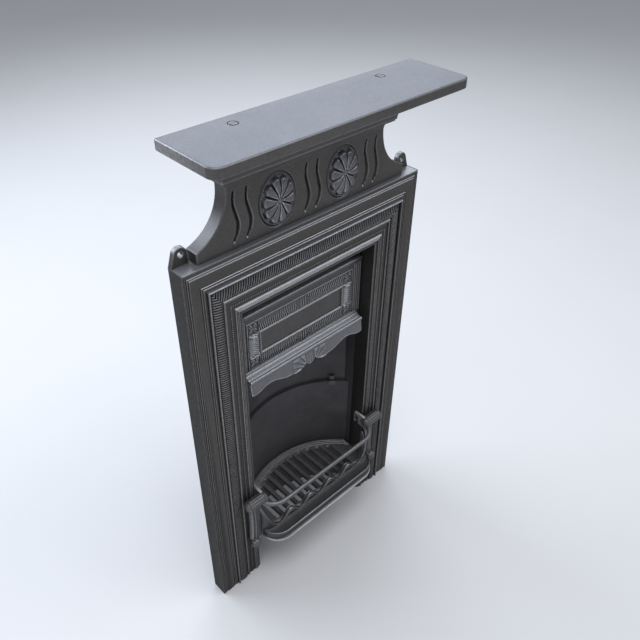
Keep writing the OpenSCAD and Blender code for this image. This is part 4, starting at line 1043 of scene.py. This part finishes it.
def ash_lip():
    """The lip between its beaded front edge and the fret, and the rim along its foot, pale partly from real
    wear and partly from a painted highlight
    """
    steps, count = 70, int(280 / FINE)

    def edge(bend, x, y):
        """One long edge: a bend, the straight front and the bend's mirror image"""
        straight = [(q, y) for q in np.linspace(-x, x, count)[1:-1]]
        return np.vstack([bend, straight, (bend * (-1, 1))[::-1]])
    outer = edge(arc(-LIP_X, LIP_Y + LIP_R, LIP_R, 184, 270, steps), LIP_X, LIP_Y)
    inner = edge(arc(-130, -34, 22.3, 208, 270, steps), 130, FRET_Y - 0.3)
    run = np.concatenate([[0], np.cumsum(np.linalg.norm(np.diff(outer, axis=0), axis=1))])
    rings = []
    rim = []
    for (x, y), inwards, far in zip(outer, inner - outer, run):
        width = float(np.linalg.norm(inwards))
        dx, dy = inwards / width
        out = 2.4 * min(1, max(0, (LIP_Y + LIP_R - y) / 4))
        bead = 1.5 * abs(math.cos(math.pi * far / 4.4)) ** 0.6
        rings.append([(x + dx * a, y + dy * a, z) for a, z in lip_section(width, out, bead)])
        if out > 0:
            turn = np.radians(range(0, 360, 24))
            oval = [(0.9 - out + 1.4 * math.cos(t), 123.2 + 2.2 * math.sin(t)) for t in turn]
            rim.append([(x + dx * a, y + dy * a, z) for a, z in oval])
    worn_highlit_rim = Shape()
    worn_highlit_rim.sweep(rim)
    # the rim's pale finish: partly real wear, partly a painted highlight
    worn_highlit_rim.make("ash_lip_rim", "fire_front", [], WORN_HIGHLIT_IRON, 60)
    shape = Shape()
    shape.sweep(rings)
    shape.make("ash_lip_casting", "fire_front", ["ash_lip"], GRATE_IRON, 40)


ash_lip()


def grate_outline(inset):
    """The grate's plan: a long arc behind, and round front corners"""
    half, front, r, big = 145.7 - inset, -49.7 + inset, 30 - inset, 193 - inset
    a = math.degrees(math.acos(half / big))
    parts = (arc(0, FIREBACK_Y, big, a, 180 - a, 60), *front_corners(half, front, r, 10))
    return [tuple(point) for part in parts for point in part]


def grate_slot(x, grow):
    """One slot, with a round rear end that follows the arc"""
    w, front = 5.5 + grow, -43 - grow
    tip = arc(x, FIREBACK_Y + math.sqrt(168 ** 2 - x * x), w, 0, 180, 12)
    return [(x - w, front), (x + w, front), *map(tuple, tip)]


def grate():
    shape = Shape()
    slots = [i * 20.7 for i in range(-5, 6)]
    section = [(-1.4, -0.4), (-1.3, 0.05), (-0.7, 0.6), (0, 0.8), (0.7, 0.6), (1.3, 0.05), (1.4, -0.4)]
    for radius in (177.6, 182.4, 187.2):
        a = math.degrees(math.acos(143 / radius))
        rings = []
        for (dx, dy), rise in zip(arc(0, 0, 1, a, 180 - a, 90), [0.2, *[1] * 89, 0.2]):
            rings.append([(dx * (radius + d), FIREBACK_Y + dy * (radius + d), GRATE_TOP + rise * h)
                          for d, h in section])
        shape.sweep(rings)
    edge = ((GRATE_TOP, 1.1), (137.7, 0.45), (137, 0), (130.4, 0), (GRATE_FOOT, 0.5))
    for (z, inset), up in ((edge[0], 1), (edge[-1], -1)):
        holes = [grate_slot(x, inset) for x in slots]
        shape.polygon(grate_outline(inset), holes, lambda x, y: (x, y, z), (0, 0, up))

    def rim(loops, out_sign):
        shape.wall(loops, lambda x, y, k: (x, y, edge[k][0]), out_sign)
    rim([grate_outline(inset) for z, inset in edge], 1)
    for x in slots:
        rim([grate_slot(x, inset) for z, inset in edge], -1)
    shape.make("grate_casting", "grate", ["bottom_grate"], GRATE_IRON, 40)


grate()


# -------- finishes of the plain CAD pieces

SLOTS = {p["node"]: p["material_slot"] for p in frame["record"]["subparts"]}
FINISH = {"blacked_iron": FRONT_IRON, "shelf_iron": SHELF_SHEEN_IRON, "firebox_iron": BACK_IRON,
          "grate_iron": GRATE_IRON, "fixings": FIXING}
for node_name, node_object in frame["nodes"].items():
    finish = FINISH[SLOTS[node_name]]
    if not node_object.material_slots:
        node_object.data.materials.append(finish)
    for socket in node_object.material_slots:
        socket.material = finish


# -------- floor, light and camera

def pale_floor():
    """A floor 18 m square, half a millimetre below the fireplace's foot"""
    mesh = bpy.data.meshes.new("pale_floor")
    corners = [(-9, -9, -0.0005), (9, -9, -0.0005), (9, 9, -0.0005), (-9, 9, -0.0005)]
    mesh.from_pydata(corners, [], [(0, 1, 2, 3)])
    piece = bpy.data.objects.new("pale_floor", mesh)
    bpy.context.scene.collection.objects.link(piece)
    material, tree, shader, place = new_material("pale_floor_finish")
    pale = (0.60, 0.60, 0.61)
    stops = [(0.3, tuple(c * 0.985 for c in pale)), (0.7, pale)]
    clouds = ramp(tree, noise(tree, place, 3, 3, 0.5), stops)
    feed(tree, shader, Base_Color=clouds, Roughness=0.7)
    mesh.materials.append(material)


pale_floor()

world = bpy.data.worlds.new("studio")
bpy.context.scene.world = world
world.use_nodes = True
sky = world.node_tree.nodes["Background"].inputs
sky["Color"].default_value = (0.84, 0.88, 0.95, 1)
sky["Strength"].default_value = 0.45


def soft_light(name, place, target, size, power, colour):
    data = bpy.data.lights.new(name, "AREA")
    data.shape = "RECTANGLE"
    data.size, data.size_y = size
    data.energy = power
    data.color = colour
    lamp = bpy.data.objects.new(name, data)
    lamp.location = place
    lamp.rotation_mode = "QUATERNION"
    lamp.rotation_quaternion = (Vector(target) - Vector(place)).to_track_quat("-Z", "Y")
    bpy.context.scene.collection.objects.link(lamp)


soft_light("overhead_soft", (-0.4, -0.5, 3.2), (0, 0, 0.7), (1.9, 1.9), 46, (0.95, 0.97, 1))
soft_light("front_right_soft", (1.5, -1.6, 2.75), (0, 0, 0.5), (1.8, 1.8), 30, (0.97, 0.98, 1))
soft_light("back_right_soft", (1.75, 1.95, 2.65), (0, 0, 0.85), (2.4, 1.8), 52, (0.86, 0.92, 1))
soft_light("back_left_soft", (-1.1, 2, 2), (-0.2, 0, 0.85), (2.4, 1.6), 56, (0.82, 0.9, 1))
soft_light("left_soft", (-2.5, -1.2, 0.9), (0, 0, 0.6), (1.4, 1.4), 3, (1, 0.98, 0.95))

camera_data = bpy.data.cameras.new("photo_camera")
camera_data.sensor_width = 36
camera_data.lens = 37.825
camera = bpy.data.objects.new("photo_camera", camera_data)
right = Vector((0.7243, -0.6893, 0.0138)).normalized()
forward = Vector((0.549, 0.5646, -0.6163)).normalized()
up = right.cross(forward).normalized()
right = forward.cross(up).normalized()
turn = Matrix((right, up, -forward)).transposed()
camera.matrix_world = Matrix.Translation((-0.6384, -0.7043, 1.3205)) @ turn.to_4x4()
bpy.context.scene.collection.objects.link(camera)
bpy.context.scene.camera = camera
bpy.context.scene.view_settings.view_transform = "Standard"
